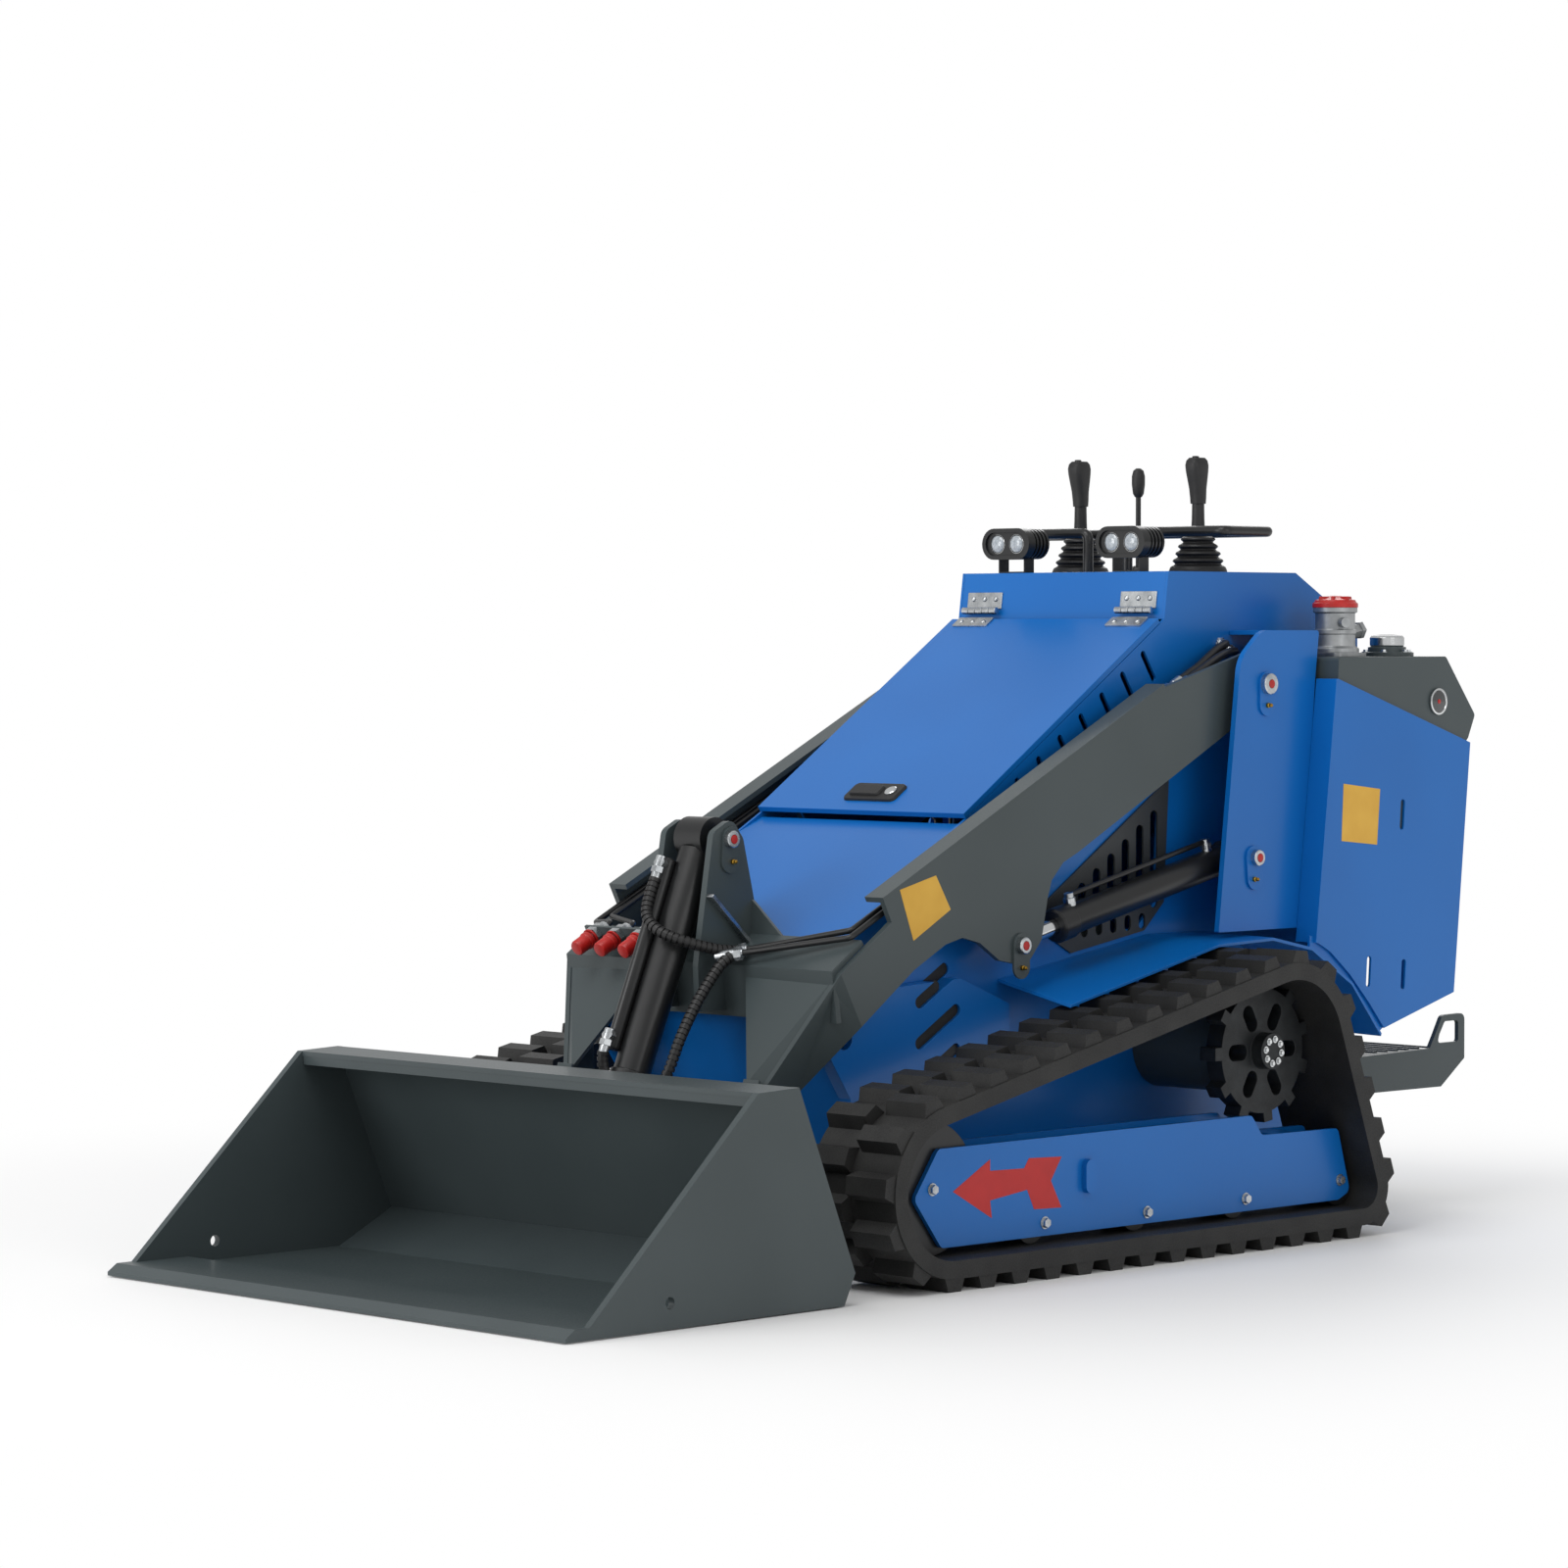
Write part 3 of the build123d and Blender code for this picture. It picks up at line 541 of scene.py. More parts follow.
# Hood: latch with its paddle and key, and two hinges. Places are given up the lid from its front edge, and in y.
lid = axes((49, 0, 705), (0.5531, 0, 0.8331), (-0.8331, 0, 0.5531))
lidTop = 10.6
latch = {
    # length, width and corner radius, upper face over the lid, share by which it narrows
    "base": ((46, 118, 9), 5, 0.04), "paddle": ((26, 70, 6), 9, 0.08),
    "up": 48, "paddleY": 16, "keyY": -38, "key": [(11, 15.6), (11, 18), (9.5, 19), (3, 18.4)],
}
hinge = {
    "places": (176, -176), "length": 80, "thick": 3, "screws": (-26, 0, 26), "screwSize": 4.6,
    "pin": (-426, 1043), "knuckles": 5, "knuckleStart": -39.6, "knucklePitch": 16,
    "knuckle": [(4.6, 0), (6, 0.6), (6, 14.6), (4.6, 15.2)],
    "lowerUp": 557, "lowerWidth": 26, "lowerCorner": 3, "lowerScrewUp": 556,
    "upperLeaf": [(-439.5, 1046), (-443.2, 1074), (-440.2, 1074.5), (-436.5, 1046.5)],
    "upperScrew": (-438.3, 1063), "upperOut": (0.9909, 0, 0.1346),
}

(baseSize, baseTop, baseTaper), (paddleSize, paddleTop, paddleTaper) = latch["base"], latch["paddle"]
latchShapes = [prism(roundBox(latch["up"], 0, *baseSize), lidTop, lidTop + baseTop, lid, baseTaper),
               prism(roundBox(latch["up"], latch["paddleY"], *paddleSize), lidTop + baseTop, lidTop + paddleTop, lid,
                     paddleTaper)]
addPiece("hoodLatch", latchShapes, "blackNylon", "hood", 0.8)
addPiece("latchKey", [turned(latch["key"], lid @ standing(latch["up"], latch["keyY"]))], "hardChrome", "hood", 0.3)
lower, upper = [], []
for y in hinge["places"]:
    leaf = roundBox(hinge["lowerUp"], y, hinge["lowerWidth"], hinge["length"], hinge["lowerCorner"])
    lower.append(prism(leaf, lidTop, lidTop + hinge["thick"], lid))
    upper.append(prism(hinge["upperLeaf"], y - hinge["length"] / 2, y + hinge["length"] / 2))
    for k in range(hinge["knuckles"]):
        x, z = hinge["pin"]
        at = facing(x, y + hinge["knuckleStart"] + hinge["knucklePitch"] * k, z)
        (upper if k % 2 else lower).append(turned(hinge["knuckle"], at, 24))
    for shift in hinge["screws"]:
        x, z = hinge["upperScrew"]
        lowerAt = lid @ standing(hinge["lowerScrewUp"], y + shift, lidTop + hinge["thick"])
        lower += domeScrew(lowerAt, hinge["screwSize"])
        upper += domeScrew(axes((x, y + shift, z), hinge["upperOut"]), hinge["screwSize"])
addPiece("hingeLeavesLower", lower, "zincPlate", "hood", 0.3)
addPiece("hingeLeavesUpper", upper, "zincPlate", "chassis", 0.3)

# Joysticks: folded boot, neck, a moulded head and its thumb button. Profiles are pairs of radius and height.
joystick = {
    "place": (-641, 135), "bootFoot": [(50, 1108), (50, 1111)], "bootTop": [(21, 1175), (15, 1178), (12.5, 1180)],
    "folds": 5, "foldStart": (47, 1111), "foldStep": (4.6, 12.4),
    "fold": [(1.5, 4), (0, 7), (-7, 11), (-7.5, 12.4)],
    "neck": [(12, 1176), (11, 1200), (10.5, 1228)], "button": [(6, 1304), (6, 1307), (4.5, 1308)], "buttonShift": 7,
    "headCorner": 9,
    # height, length, width, forward shift
    "headRows": [(1226, 24, 24, 0), (1236, 25, 25, 0), (1252, 27, 26, 1), (1268, 32, 28, 2), (1282, 37, 29, 3),
                 (1292, 39, 29, 3.5), (1300, 36, 27, 3.5), (1305, 29, 21, 3)],
}

stickX, stickY = joystick["place"]
bootProfile = list(joystick["bootFoot"])
for i in range(joystick["folds"]):
    wide = joystick["foldStart"][0] - joystick["foldStep"][0] * i
    low = joystick["foldStart"][1] + joystick["foldStep"][1] * i
    bootProfile += [(wide + out, low + up) for out, up in joystick["fold"]]
bootProfile += joystick["bootTop"]
headRows = joystick["headRows"]
headVertices = [Vector((stickX + shift + u, stickY + v, height)) for height, length, width, shift in headRows
                for u, v in roundBox(0, 0, length, width, joystick["headCorner"], 0, 4)]
rim = len(headVertices) // len(headRows)
headFaces = [(row * rim + i, row * rim + (i + 1) % rim, (row + 1) * rim + (i + 1) % rim, (row + 1) * rim + i)
             for row in range(len(headRows) - 1) for i in range(rim)]
headFaces += [tuple(range(rim))[::-1], tuple(range(len(headVertices) - rim, len(headVertices)))]
stick = [turned(bootProfile, standing(stickX, stickY), 48), turned(joystick["neck"], standing(stickX, stickY)),
         (headVertices, headFaces),
         turned(joystick["button"], standing(stickX + joystick["buttonShift"], stickY), 20)]
addPair("joystick", stick, "blackNylon", "chassis", 0.5, "joystick")

# Work lamps: oval housing with cooling fins, two lenses in a dark well, and a bent bracket
workLamp = {
    # length and height of each oval, and its ends in x
    "place": (131, 1158), "housing": ((96, 42), (-496, -446)), "front": ((110, 54), (-460, -442)),
    "well": ((94, 40), (-451, -425)), "fin": (108, 52), "fins": 4, "finStart": -496, "finPitch": 9, "finThick": 4.5,
    "bracket": [(103, 1160), (103, 1110.5), (159, 1110.5), (159, 1160)], "bracketThick": -2.5,
    "bracketEnds": (-482, -458), "lensPlaces": (109, 153), "lensX": -452,
    "lens": [(15.5, 0), (15.5, 5), (13, 7.5), (8, 9), (0.5, 9.6)],
    "rim": [(18, -2), (18, 5.5), (16, 6.2), (15.6, 5)],
}


def lampOval(size, ends):
    return prism(roundSlot(*workLamp["place"], *size, 0), *ends, forward)


housing = [lampOval(*workLamp["housing"])]
for i in range(workLamp["fins"]):
    back = workLamp["finStart"] + workLamp["finPitch"] * i
    housing.append(lampOval(workLamp["fin"], (back, back + workLamp["finThick"])))
bracket = prism(bentSheet(workLamp["bracket"], workLamp["bracketThick"]), *workLamp["bracketEnds"], forward)
lensFaces = [axes((workLamp["lensX"], y, workLamp["place"][1]), (1, 0, 0)) for y in workLamp["lensPlaces"]]
addPair("workLamp", [*housing, bracket], "blackEnamel", "chassis", 0.5, "work_lamp")
for side, hand in sides:
    front, well = [onSide(side, [lampOval(*workLamp[part])]) for part in ("front", "well")]
    addPiece("lampFront" + hand.capitalize(), cutOut(meshOf(front), well), "blackEnamel", "chassis", 0.6)
addPair("lampLens", [turned(workLamp["lens"], face) for face in lensFaces], "lampLens", "chassis", 0)
addPair("lampRim", [turned(workLamp["rim"], face) for face in lensFaces], "hardChrome", "chassis", 0)

# Centre lever and the hand bar round the controls
centreLever = {
    "place": (-640, 0), "boot": [(16, 1108), (16, 1112), (13, 1118), (8, 1121)], "shaft": [(4.5, 1118), (4.5, 1244)],
    "knob": [(6, 1240), (9.5, 1246), (11.5, 1262), (11.5, 1276), (9, 1286), (4, 1290)],
}
handBar = {
    "radius": 9, "bend": 26,
    "route": [(-560, -45, 1108), (-560, -45, 1177), (-560, -262, 1177), (-680, -262, 1177), (-680, 262, 1177),
              (-560, 262, 1177), (-560, 45, 1177), (-560, 45, 1108)],
}
leverShapes = [turned(centreLever[part], standing(*centreLever["place"])) for part in ("boot", "shaft", "knob")]
addPiece("centreLever", leverShapes, "blackNylon", "chassis", 0.4, ["centre_lever"])
addPiece("handBar", barMesh(handBar["route"], handBar["radius"], handBar["bend"]), "blackEnamel", "chassis", 0,
         ["hand_bar"])

# Oil filter with its red cap: a plate on the deck, the turned body, and two ports that lie across it
oilFilter = {
    "place": (-785, 320), "plate": (84, 84, 14), "plateFaces": (964, 971),
    "body": [(41, 971), (41, 978), (35, 982), (34, 1002), (36, 1003), (36, 1010), (34, 1011), (34, 1038), (38, 1040),
             (38, 1048)],
    "cap": [(39, 1048), (39, 1055), (36, 1057), (34, 1061), (20, 1063), (12, 1067), (10, 1068)],
    "capRibs": 3, "capRib": (64, 6, 2.5), "capRibFaces": (1055, 1067),
    # profile, height, the way it looks, sides
    "rearPort": ([(13, 20), (13, 58), (16, 59), (16, 68)], 1000, (-1, 0, 0.15), (0, 1, 0), 6),
    "sidePort": ([(9, 20), (9, 52)], 1022, (0.5, 0.87, 0), (0, 0, 1), 24),
}
filterAt = standing(*oilFilter["place"])
filterShapes = [prism(roundBox(0, 0, *oilFilter["plate"]), *oilFilter["plateFaces"], filterAt),
                turned(oilFilter["body"], filterAt, 48)]
for profile, height, out, along, steps in (oilFilter["rearPort"], oilFilter["sidePort"]):
    filterShapes.append(turned(profile, axes((*oilFilter["place"], height), out, along), steps))
addPiece("filterHousing", filterShapes, "castAluminium", "chassis", 0.6, ["filter_housing"])
capShapes = [turned(oilFilter["cap"], filterAt, 48)]
for i in range(oilFilter["capRibs"]):
    rib = roundBox(0, 0, *oilFilter["capRib"], 30 + 180 / oilFilter["capRibs"] * i)
    capShapes.append(prism(rib, *oilFilter["capRibFaces"], filterAt, 0.1))
addPiece("filterCap", capShapes, "redPlastic", "chassis", 0.5, ["filter_cap"])

# Filler with its ring of nuts, gauge, and the fuel cap on the other tank
filler = {
    "place": (-930, 318), "neck": [(46, 964), (46, 971), (33, 972), (33, 980), (26, 982)],
    "cap": [(27, 980), (30, 983), (30, 996), (27, 1000), (10, 1002)],
    "nuts": 6, "nutCircle": 39.5, "nutSize": 4.6, "nutFoot": 971,
}
gauge = {
    "place": (-985, 384.7, 886), "ring": [(21, 0), (23, 1.5), (23, 4.8), (20, 5.2), (19, 3.4)],
    "dial": [(19.2, 1), (19.2, 3.9), (6, 4.6)], "mark": [(4, 4), (4, 5.1), (3, 5.3)],
}
fuelCap = {
    "place": (-930, -318), "neck": [(34, 964), (34, 970), (27, 972), (27, 978)],
    "cap": [(32, 978), (35, 981), (35, 998), (31, 1002), (8, 1003)],
}
fillerAt, fuelAt, gaugeAt = standing(*filler["place"]), standing(*fuelCap["place"]), facing(*gauge["place"])
nuts = []
for u, v in ring(*filler["place"], filler["nutCircle"], filler["nuts"], 30):
    nuts += hexBolt(standing(u, v, filler["nutFoot"]), filler["nutSize"])
addPiece("fillerNeck", [turned(filler["neck"], fillerAt, 48)], "greyPowderCoat", "chassis", 0.6)
addPiece("fillerCap", [turned(filler["cap"], fillerAt, 24)], "hardChrome", "chassis", 0.6)
addPiece("fillerNuts", nuts, "zincPlate", "chassis", 0.2)
addPiece("gaugeRing", [turned(gauge["ring"], gaugeAt)], "hardChrome", "chassis", 0.2)
addPiece("gaugeDial", [turned(gauge["dial"], gaugeAt)], "darkDial", "chassis", 0)
addPiece("gaugeMark", [turned(gauge["mark"], gaugeAt)], "redPlastic", "chassis", 0)
addPiece("fuelCap", [turned(fuelCap["neck"], fuelAt), turned(fuelCap["cap"], fuelAt, 18)], "blackNylon", "chassis", 0.8)
print("controls and tank fittings")

# Pins: retaining plate with the turned pin head, a red plug and a grease nipple
pinTable = [
    # name, x, z, face's distance from the middle, pin's radius and how far it stands out, lean, body, plate's look
    ("liftPin", -570, 919, 345, 17, 12, 0, "chassis", "bluePowderCoat"),
    ("ramBasePin", -541, 628, 345, 13, 12, 1, "chassis", "bluePowderCoat"),
    ("ramRodPin", 5, 503, 314, 13, 12, 0, "lift_arms", "greyPowderCoat"),
    ("tiltPin", 411, 678, 60, 13, 12, -1, "lift_arms", "greyPowderCoat"),
]
keeper = {"length": 74, "width": 38, "thick": 4, "drop": 17, "leanShift": 3, "leanAngle": 5}
# The head is drawn round the CAD's pin: how far it stands out from it in radius and length, and its hollow.
pinHead = {"round": 0.6, "over": 1.8, "chamfer": 1, "hollow": 7.6, "hollowOver": 0.4}
plug = [(7.4, 0), (7, 2.4), (3, 2.8)]
nipple = {"profile": [(4.2, 3), (4.2, 8), (2.6, 9), (2.6, 12), (3.4, 13), (1.5, 15)], "drop": 36, "leanShift": 5}
for name, x, z, face, radius, high, lean, body, plateLook in pinTable:
    at = facing(x, face, z)
    plate = roundSlot(x + keeper["leanShift"] * lean, z - keeper["drop"], keeper["length"], keeper["width"],
                      90 - keeper["leanAngle"] * lean)
    wide, top = radius + pinHead["round"], high + pinHead["over"]
    head = [(wide, 0), (wide, high + pinHead["round"]), (radius - pinHead["chamfer"], top), (pinHead["hollow"], top),
            (pinHead["hollow"], high + pinHead["hollowOver"])]
    nippleAt = facing(x + nipple["leanShift"] * lean, face, z - nipple["drop"])
    addPair(name + "Keeper", [prism(plate, face, face + keeper["thick"])], plateLook, body, 0.8)
    addPair(name + "Head", [turned(head, at)], "zincPlate", body, 0.3)
    addPair(name + "Plug", [turned([(r, high + up) for r, up in plug], at, 20)], "redPlastic", body, 0)
    addPair(name + "Nipple", [turned(nipple["profile"], nippleAt, 16)], "brass", body, 0)

# Side panels: strip behind the lower edge, down to the fender
panelReturn = {
    "outline": [(-640, 495), (-640, 474), (-742, 410), (-822, 318), (-850, 336), (-795, 385), (-742, 440), (-689, 480)],
    "faces": (379, 384.6),
}
addPair("panelReturn", [sheetOf(panelReturn)], "bluePowderCoat", "chassis", 0.8)

# Towers: top shelf
towerShelf = {"outline": [(-705, 1001), (-605, 1001), (-605, 1009), (-705, 1009)], "faces": (236.5, 335)}
addPair("towerShelf", [sheetOf(towerShelf)], "bluePowderCoat", "chassis", 1.0)

# Track frames: window, arrow and bolts on the outer face
trackFrame = {
    "face": 480, "boltSize": 8, "bolts": [(129, 81), (-114, 78), (-359, 80), (-603, 92), (385, 153)],
    "windowSlot": (30, 147, 54, 24), "windowHole": (8, 147, 15), "windowCut": (470, 490),
}
arrow = {
    "outline": [(339, 146), (255, 190), (255, 172), (177, 170), (166, 185), (90, 182), (115, 146), (90, 102),
                (154, 104), (170, 136), (255, 126), (251, 98)],
    "faces": (479.8, 480.4),
}
addPair("directionArrow", [sheetOf(arrow)], "redVinyl", "chassis", 0)
frameBolts = []
for x, z in trackFrame["bolts"]:
    frameBolts += hexBolt(facing(x, trackFrame["face"], z), trackFrame["boltSize"])
addPair("frameBolt", frameBolts, "zincPlate", "chassis", 0.2)
window = [prism(points, *trackFrame["windowCut"])
          for points in (roundSlot(*trackFrame["windowSlot"]), ring(*trackFrame["windowHole"]))]
for side, hand in sides:
    addPiece("trackFrame" + hand.capitalize(), cutOut(mergedCopy(f"track_frame_{hand}"), onSide(side, window)),
             "bluePowderCoat", "chassis", 1.0, [f"track_frame_{hand}"])

# Sprocket hubs: a ring of bolts round the shaft
hub = {"middle": (-429, 317), "circle": 20, "bolts": 8, "boltSize": 4, "firstAngle": 10}
hubBolts = []
for u, v in ring(*hub["middle"], hub["circle"], hub["bolts"], hub["firstAngle"]):
    hubBolts += hexBolt(facing(u, trackFrame["face"], v), hub["boltSize"])
addPair("hubBolt", hubBolts, "hardChrome", "chassis", 0.15)

# Blank plates where the photograph shows labels
armPlate = {"outline": [(284, 602), (202, 622), (168, 567), (253, 521)], "faces": (313.8, 314.4)}
panelPlate = {"outline": [(-722, 749), (-821, 738), (-813, 643), (-717, 652)], "faces": (389.8, 390.4)}
addPair("armPlate", [sheetOf(armPlate)], "yellowVinyl", "lift_arms", 0)
addPair("panelPlate", [sheetOf(panelPlate)], "yellowVinyl", "chassis", 0)

# Yoke: rib on each ear, drawn in pale zinc as a painted highlight along its lit edge, and the back plate with its lower
# corners cut away
earRib = {"run": [(456, 593), (362, 507)], "thick": 6, "faces": (59, 74)}
backPlate = {
    "run": [(354, 516), (353, 577), (369, 640)], "thick": -6, "halfWidth": 150, "cut": (300, 420),
    "corner": [(160, 500), (160, 650), (44, 650), (44, 640), (51, 588), (129, 524), (147, 510)],
}
# The rib's pale zinc is a painted highlight, standing for the light along the edge of the grey yoke's gusset.
addPair("earRib", [prism(bentSheet(earRib["run"], earRib["thick"]), *earRib["faces"])], "zincPlate", "lift_arms", 0.6)
corner = [prism(backPlate["corner"], *backPlate["cut"], forward)]
backSheet = meshOf([prism(bentSheet(backPlate["run"], backPlate["thick"]), -backPlate["halfWidth"],
                          backPlate["halfWidth"])])
addPiece("backPlate", cutOut(backSheet, corner + mirrored(corner)), "greyPowderCoat", "lift_arms", 0.8)

# Three capped hose couplings on their bracket; the bracket's corners are given along and up from the couplings.
coupling = {
    "x": 424, "z": 517, "out": (0.891, 0, -0.454), "places": (-232, -178, -122),
    "bracketFaces": (-254, -100), "bracketCorners": [(-2.5, 14), (2.5, 14), (2.5, -43), (-2.5, -43)],
    "body": [(9, -22), (11, -20), (11, 22)], "frontNut": (16, 2.5, 12), "backNut": (15, -12, -2.5),
    "cap": [(14.5, 20), (14.5, 27), (13, 28), (13, 48), (11.5, 51), (4, 52)], "capRing": [(15.8, 14), (15.8, 17)],
}
forth, fall = coupling["out"][0], coupling["out"][2]
bracketCorners = [(coupling["x"] + forth * a - fall * b, coupling["z"] + fall * a + forth * b)
                  for a, b in coupling["bracketCorners"]]
addPiece("couplingBracket", [prism(bracketCorners, *coupling["bracketFaces"])], "greyPowderCoat", "lift_arms", 0.6)
nipples, caps = [], []
for y in coupling["places"]:
    at = axes((coupling["x"], y, coupling["z"]), coupling["out"])
    nipples += [turned(coupling["body"], at), nut(at, *coupling["frontNut"]), nut(at, *coupling["backNut"])]
    caps += [turned(coupling["cap"], at, 40), turned(coupling["capRing"], at)]
addPiece("hoseCouplings", nipples, "zincPlate", "lift_arms", 0.3)
addPiece("couplingCaps", caps, "redPlastic", "lift_arms", 0.5)

# Tilt cylinder: gland, the oil tube in front of the barrel and its two elbows. Places are given as the distance
# along the cylinder from its upper pin, the distance in front of its axis, and y.
tiltRam = {
    "pin": (411, 678), "along": (0.3882, 0, -0.9216), "across": (0.9216, 0, 0.3882),
    "gland": [(31, 396), (34, 398), (34, 420), (31, 424)],
    "tubeY": -22, "tubeOut": 34, "tubeStart": 50, "tube": [(10, 0), (12, 3), (12, 316), (10, 320)],
    "elbows": [(62, 51), (352, 50)], "elbowFoot": 40, "footRadius": 9, "footNut": (12, 4, 14), "sleeveNut": (11, 8, 18),
    "sleeve": [(8.5, -10), (8.5, 12), (8, 14), (8, 30), (7.4, 30.5)],
}
along, across = Vector(tiltRam["along"]), Vector(tiltRam["across"])
tubeY = tiltRam["tubeY"]


def onTilt(s, n, y):
    return tuple(Vector((tiltRam["pin"][0], y, tiltRam["pin"][1])) + along * s + across * n)


tubeStart = onTilt(tiltRam["tubeStart"], tiltRam["tubeOut"], tubeY)
fittings = [turned(tiltRam["gland"], axes(onTilt(0, 0, 0), along), 40),
            turned(tiltRam["tube"], axes(tubeStart, along), 28)]
elbows, foot = [], tiltRam["elbowFoot"]
for s, n in tiltRam["elbows"]:
    footAt, bendAt = axes(onTilt(s, foot, tubeY), across), axes(onTilt(s, n, tubeY), along)
    elbows += [turned([(tiltRam["footRadius"], 0), (tiltRam["footRadius"], n - foot)], footAt, 24),
               nut(footAt, *tiltRam["footNut"]), nut(bendAt, *tiltRam["sleeveNut"]),
               turned(tiltRam["sleeve"], bendAt, 24)]
addPiece("tiltOilTube", fittings, "blackEnamel", "tilt_barrel", 0.6)
addPiece("tiltElbows", elbows, "zincPlate", "tilt_barrel", 0.3)

# Lift cylinders: gland and two ports with a steel line between them, at distances along the cylinder from its foot
liftRam = {
    "foot": (-541, 288, 628), "along": (546, 0, -125), "up": (125, 0, 546), "ports": (52, 402),
    "gland": [(25.5, 412), (29, 414), (29, 446), (25.5, 449)],
    "port": [(10, 20), (10, 36), (8, 37), (8, 44)], "portNut": (11, 28, 36), "lineRadius": 4.5, "lineUp": 40,
}
ramFoot = Vector(liftRam["foot"])
ramAlong, ramUp = Vector(liftRam["along"]).normalized(), Vector(liftRam["up"]).normalized()
ports = []
for s in liftRam["ports"]:
    at = axes(ramFoot + ramAlong * s, ramUp)
    ports += [turned(liftRam["port"], at, 24), nut(at, *liftRam["portNut"])]
ramLine = turned([(liftRam["lineRadius"], s) for s in liftRam["ports"]],
                 axes(ramFoot + ramUp * liftRam["lineUp"], ramAlong), 16)
addPair("ramGland", [turned(liftRam["gland"], axes(ramFoot, ramAlong), 40)], "blackEnamel",
        "lift_barrels", 0.5)
addPair("ramPort", ports, "zincPlate", "lift_barrels", 0.3)
addPair("ramLine", [ramLine], "blackEnamel", "lift_barrels", 0)

# Two steel lines under the flange of each arm, with clamps, and the hoses that lead from them into the hull
armLine = {
    "places": (292, 275), "frontBends": (372, 352), "rear": -395, "radius": 5, "bend": 12,
    # the lines' height at x, and how much it rises for each millimetre towards the rear
    "height": 530, "heightX": 372, "rise": 0.4925,
    # side, distance from the middle: the points before the line turns along the arm
    "starts": {(1, 292): [(442, 104, 499), (430, 128, 503)], (1, 275): [(422, 94, 503), (410, 120, 508)],
               (-1, 292): [(405, 232, 526), (392, 234, 534)], (-1, 275): [(405, 178, 526), (392, 180, 534)]},
}
lineClamp = {"places": (150, -200), "halfLength": 13, "edges": (15.4, 2.6, -15.4, -2.6), "faces": (267, 304.5)}
lineEnd = {"out": (-0.897, 0, 0.442), "sleeve": [(7.5, -6), (7.5, 20), (9, 21), (9, 40), (8, 41)], "nut": (10.5, 0, 12)}
hosePort = {"face": 236, "places": [(-603, 973.5), (-580, 985)], "profile": [(13, 0), (13, 3), (9.5, 4), (9.5, 9)]}
hoseRoutes = {
    "armHoseOuter": [(-430, 292, 925), (-452, 292, 936), (-480, 291, 949), (-514, 285, 962), (-552, 273, 971),
                     (-584, 262, 973.5), (-603, 252, 973.5), (-603, 240, 973.5)],
    "armHoseInner": [(-430, 275, 925), (-452, 275, 936), (-480, 274, 948), (-512, 268, 964), (-546, 262, 980),
                     (-572, 256, 986), (-580, 248, 986), (-580, 240, 985)],
}


def lineAt(x, y):
    return (x, y, armLine["height"] + (armLine["heightX"] - x) * armLine["rise"])


def routeOnSide(side, route):
    return [(x, side * y, z) for x, y, z in route]


clamps = []
for x in lineClamp["places"]:
    middle, half = lineAt(x, 0)[2], lineClamp["halfLength"]
    outline = [(x + shift, middle + up) for shift, up in zip((-half, half, half, -half), lineClamp["edges"])]
    clamps.append(prism(outline, *lineClamp["faces"]))
addPair("lineClamp", clamps, "blackNylon", "lift_arms", 0.8)
lineEnds = []
for y in armLine["places"]:
    at = axes(lineAt(armLine["rear"], y), lineEnd["out"])
    lineEnds += [turned(lineEnd["sleeve"], at, 24), nut(at, *lineEnd["nut"])]
addPair("lineEnds", lineEnds, "zincPlate", "lift_arms", 0.3)
addPair("hosePorts", [turned(hosePort["profile"], facing(x, hosePort["face"], z), 6) for x, z in hosePort["places"]],
        "zincPlate", "chassis", 0.3)
for side, hand in sides:
    for y, bendX in zip(armLine["places"], armLine["frontBends"]):
        route = [*armLine["starts"][side, y], lineAt(bendX, y), lineAt(armLine["rear"], y)]
        line = barMesh(routeOnSide(side, route), armLine["radius"], armLine["bend"])
        addPiece(f"armLine{y}" + hand.capitalize(), line, "blackEnamel", "lift_arms", 0)
    for name, route in hoseRoutes.items():
        points = routeOnSide(side, route)
        bendBetween = [tuple(c * mm for c in points[k]) for k in (1, -2)]
        addHose(name + hand.capitalize(), points, ("lift_arms", "chassis", *bendBetween))

# The tilt cylinder's hoses, from its elbows to the steel lines on the left, each in a spiral guard
tiltRoutes = {
    "tiltHoseUpper": [onTilt(92, 51, -22), onTilt(120, 53, -22), (522, -14, 556), (524, 18, 534), (502, 54, 519),
                      (466, 76, 508), (440, 86, 503), (422, 94, 503)],
    "tiltHoseLower": [onTilt(382, 50, -22), onTilt(404, 43, -24), (596, -2, 284), (583, 58, 274), (568, 86, 314),
                      (550, 90, 364), (514, 90, 420), (478, 93, 466), (456, 98, 491), (442, 104, 499)],
}
tiltHoseEnd = {
    "lines": [(1, 275), (1, 292)], "nuts": [(11, 2, 14), (9.5, -6, 0)],
    "sleeve": [(8.5, -30), (9.5, -28), (9.5, 2), (8, 4), (7, 16)],
}
guardTree = makeGuardTree()
for name, route in tiltRoutes.items():
    addHose(name, route, "tilt_barrel", guardTree)
ends = []
for line in tiltHoseEnd["lines"]:
    here, there = armLine["starts"][line]
    at = axes(here, Vector(there) - Vector(here), (0, 0, 1))
    ends += [turned(tiltHoseEnd["sleeve"], at, 24), *[nut(at, *sizes) for sizes in tiltHoseEnd["nuts"]]]
addPiece("tiltHoseEnds", ends, "zincPlate", "lift_arms", 0.3)
print("pins, lines, hoses")

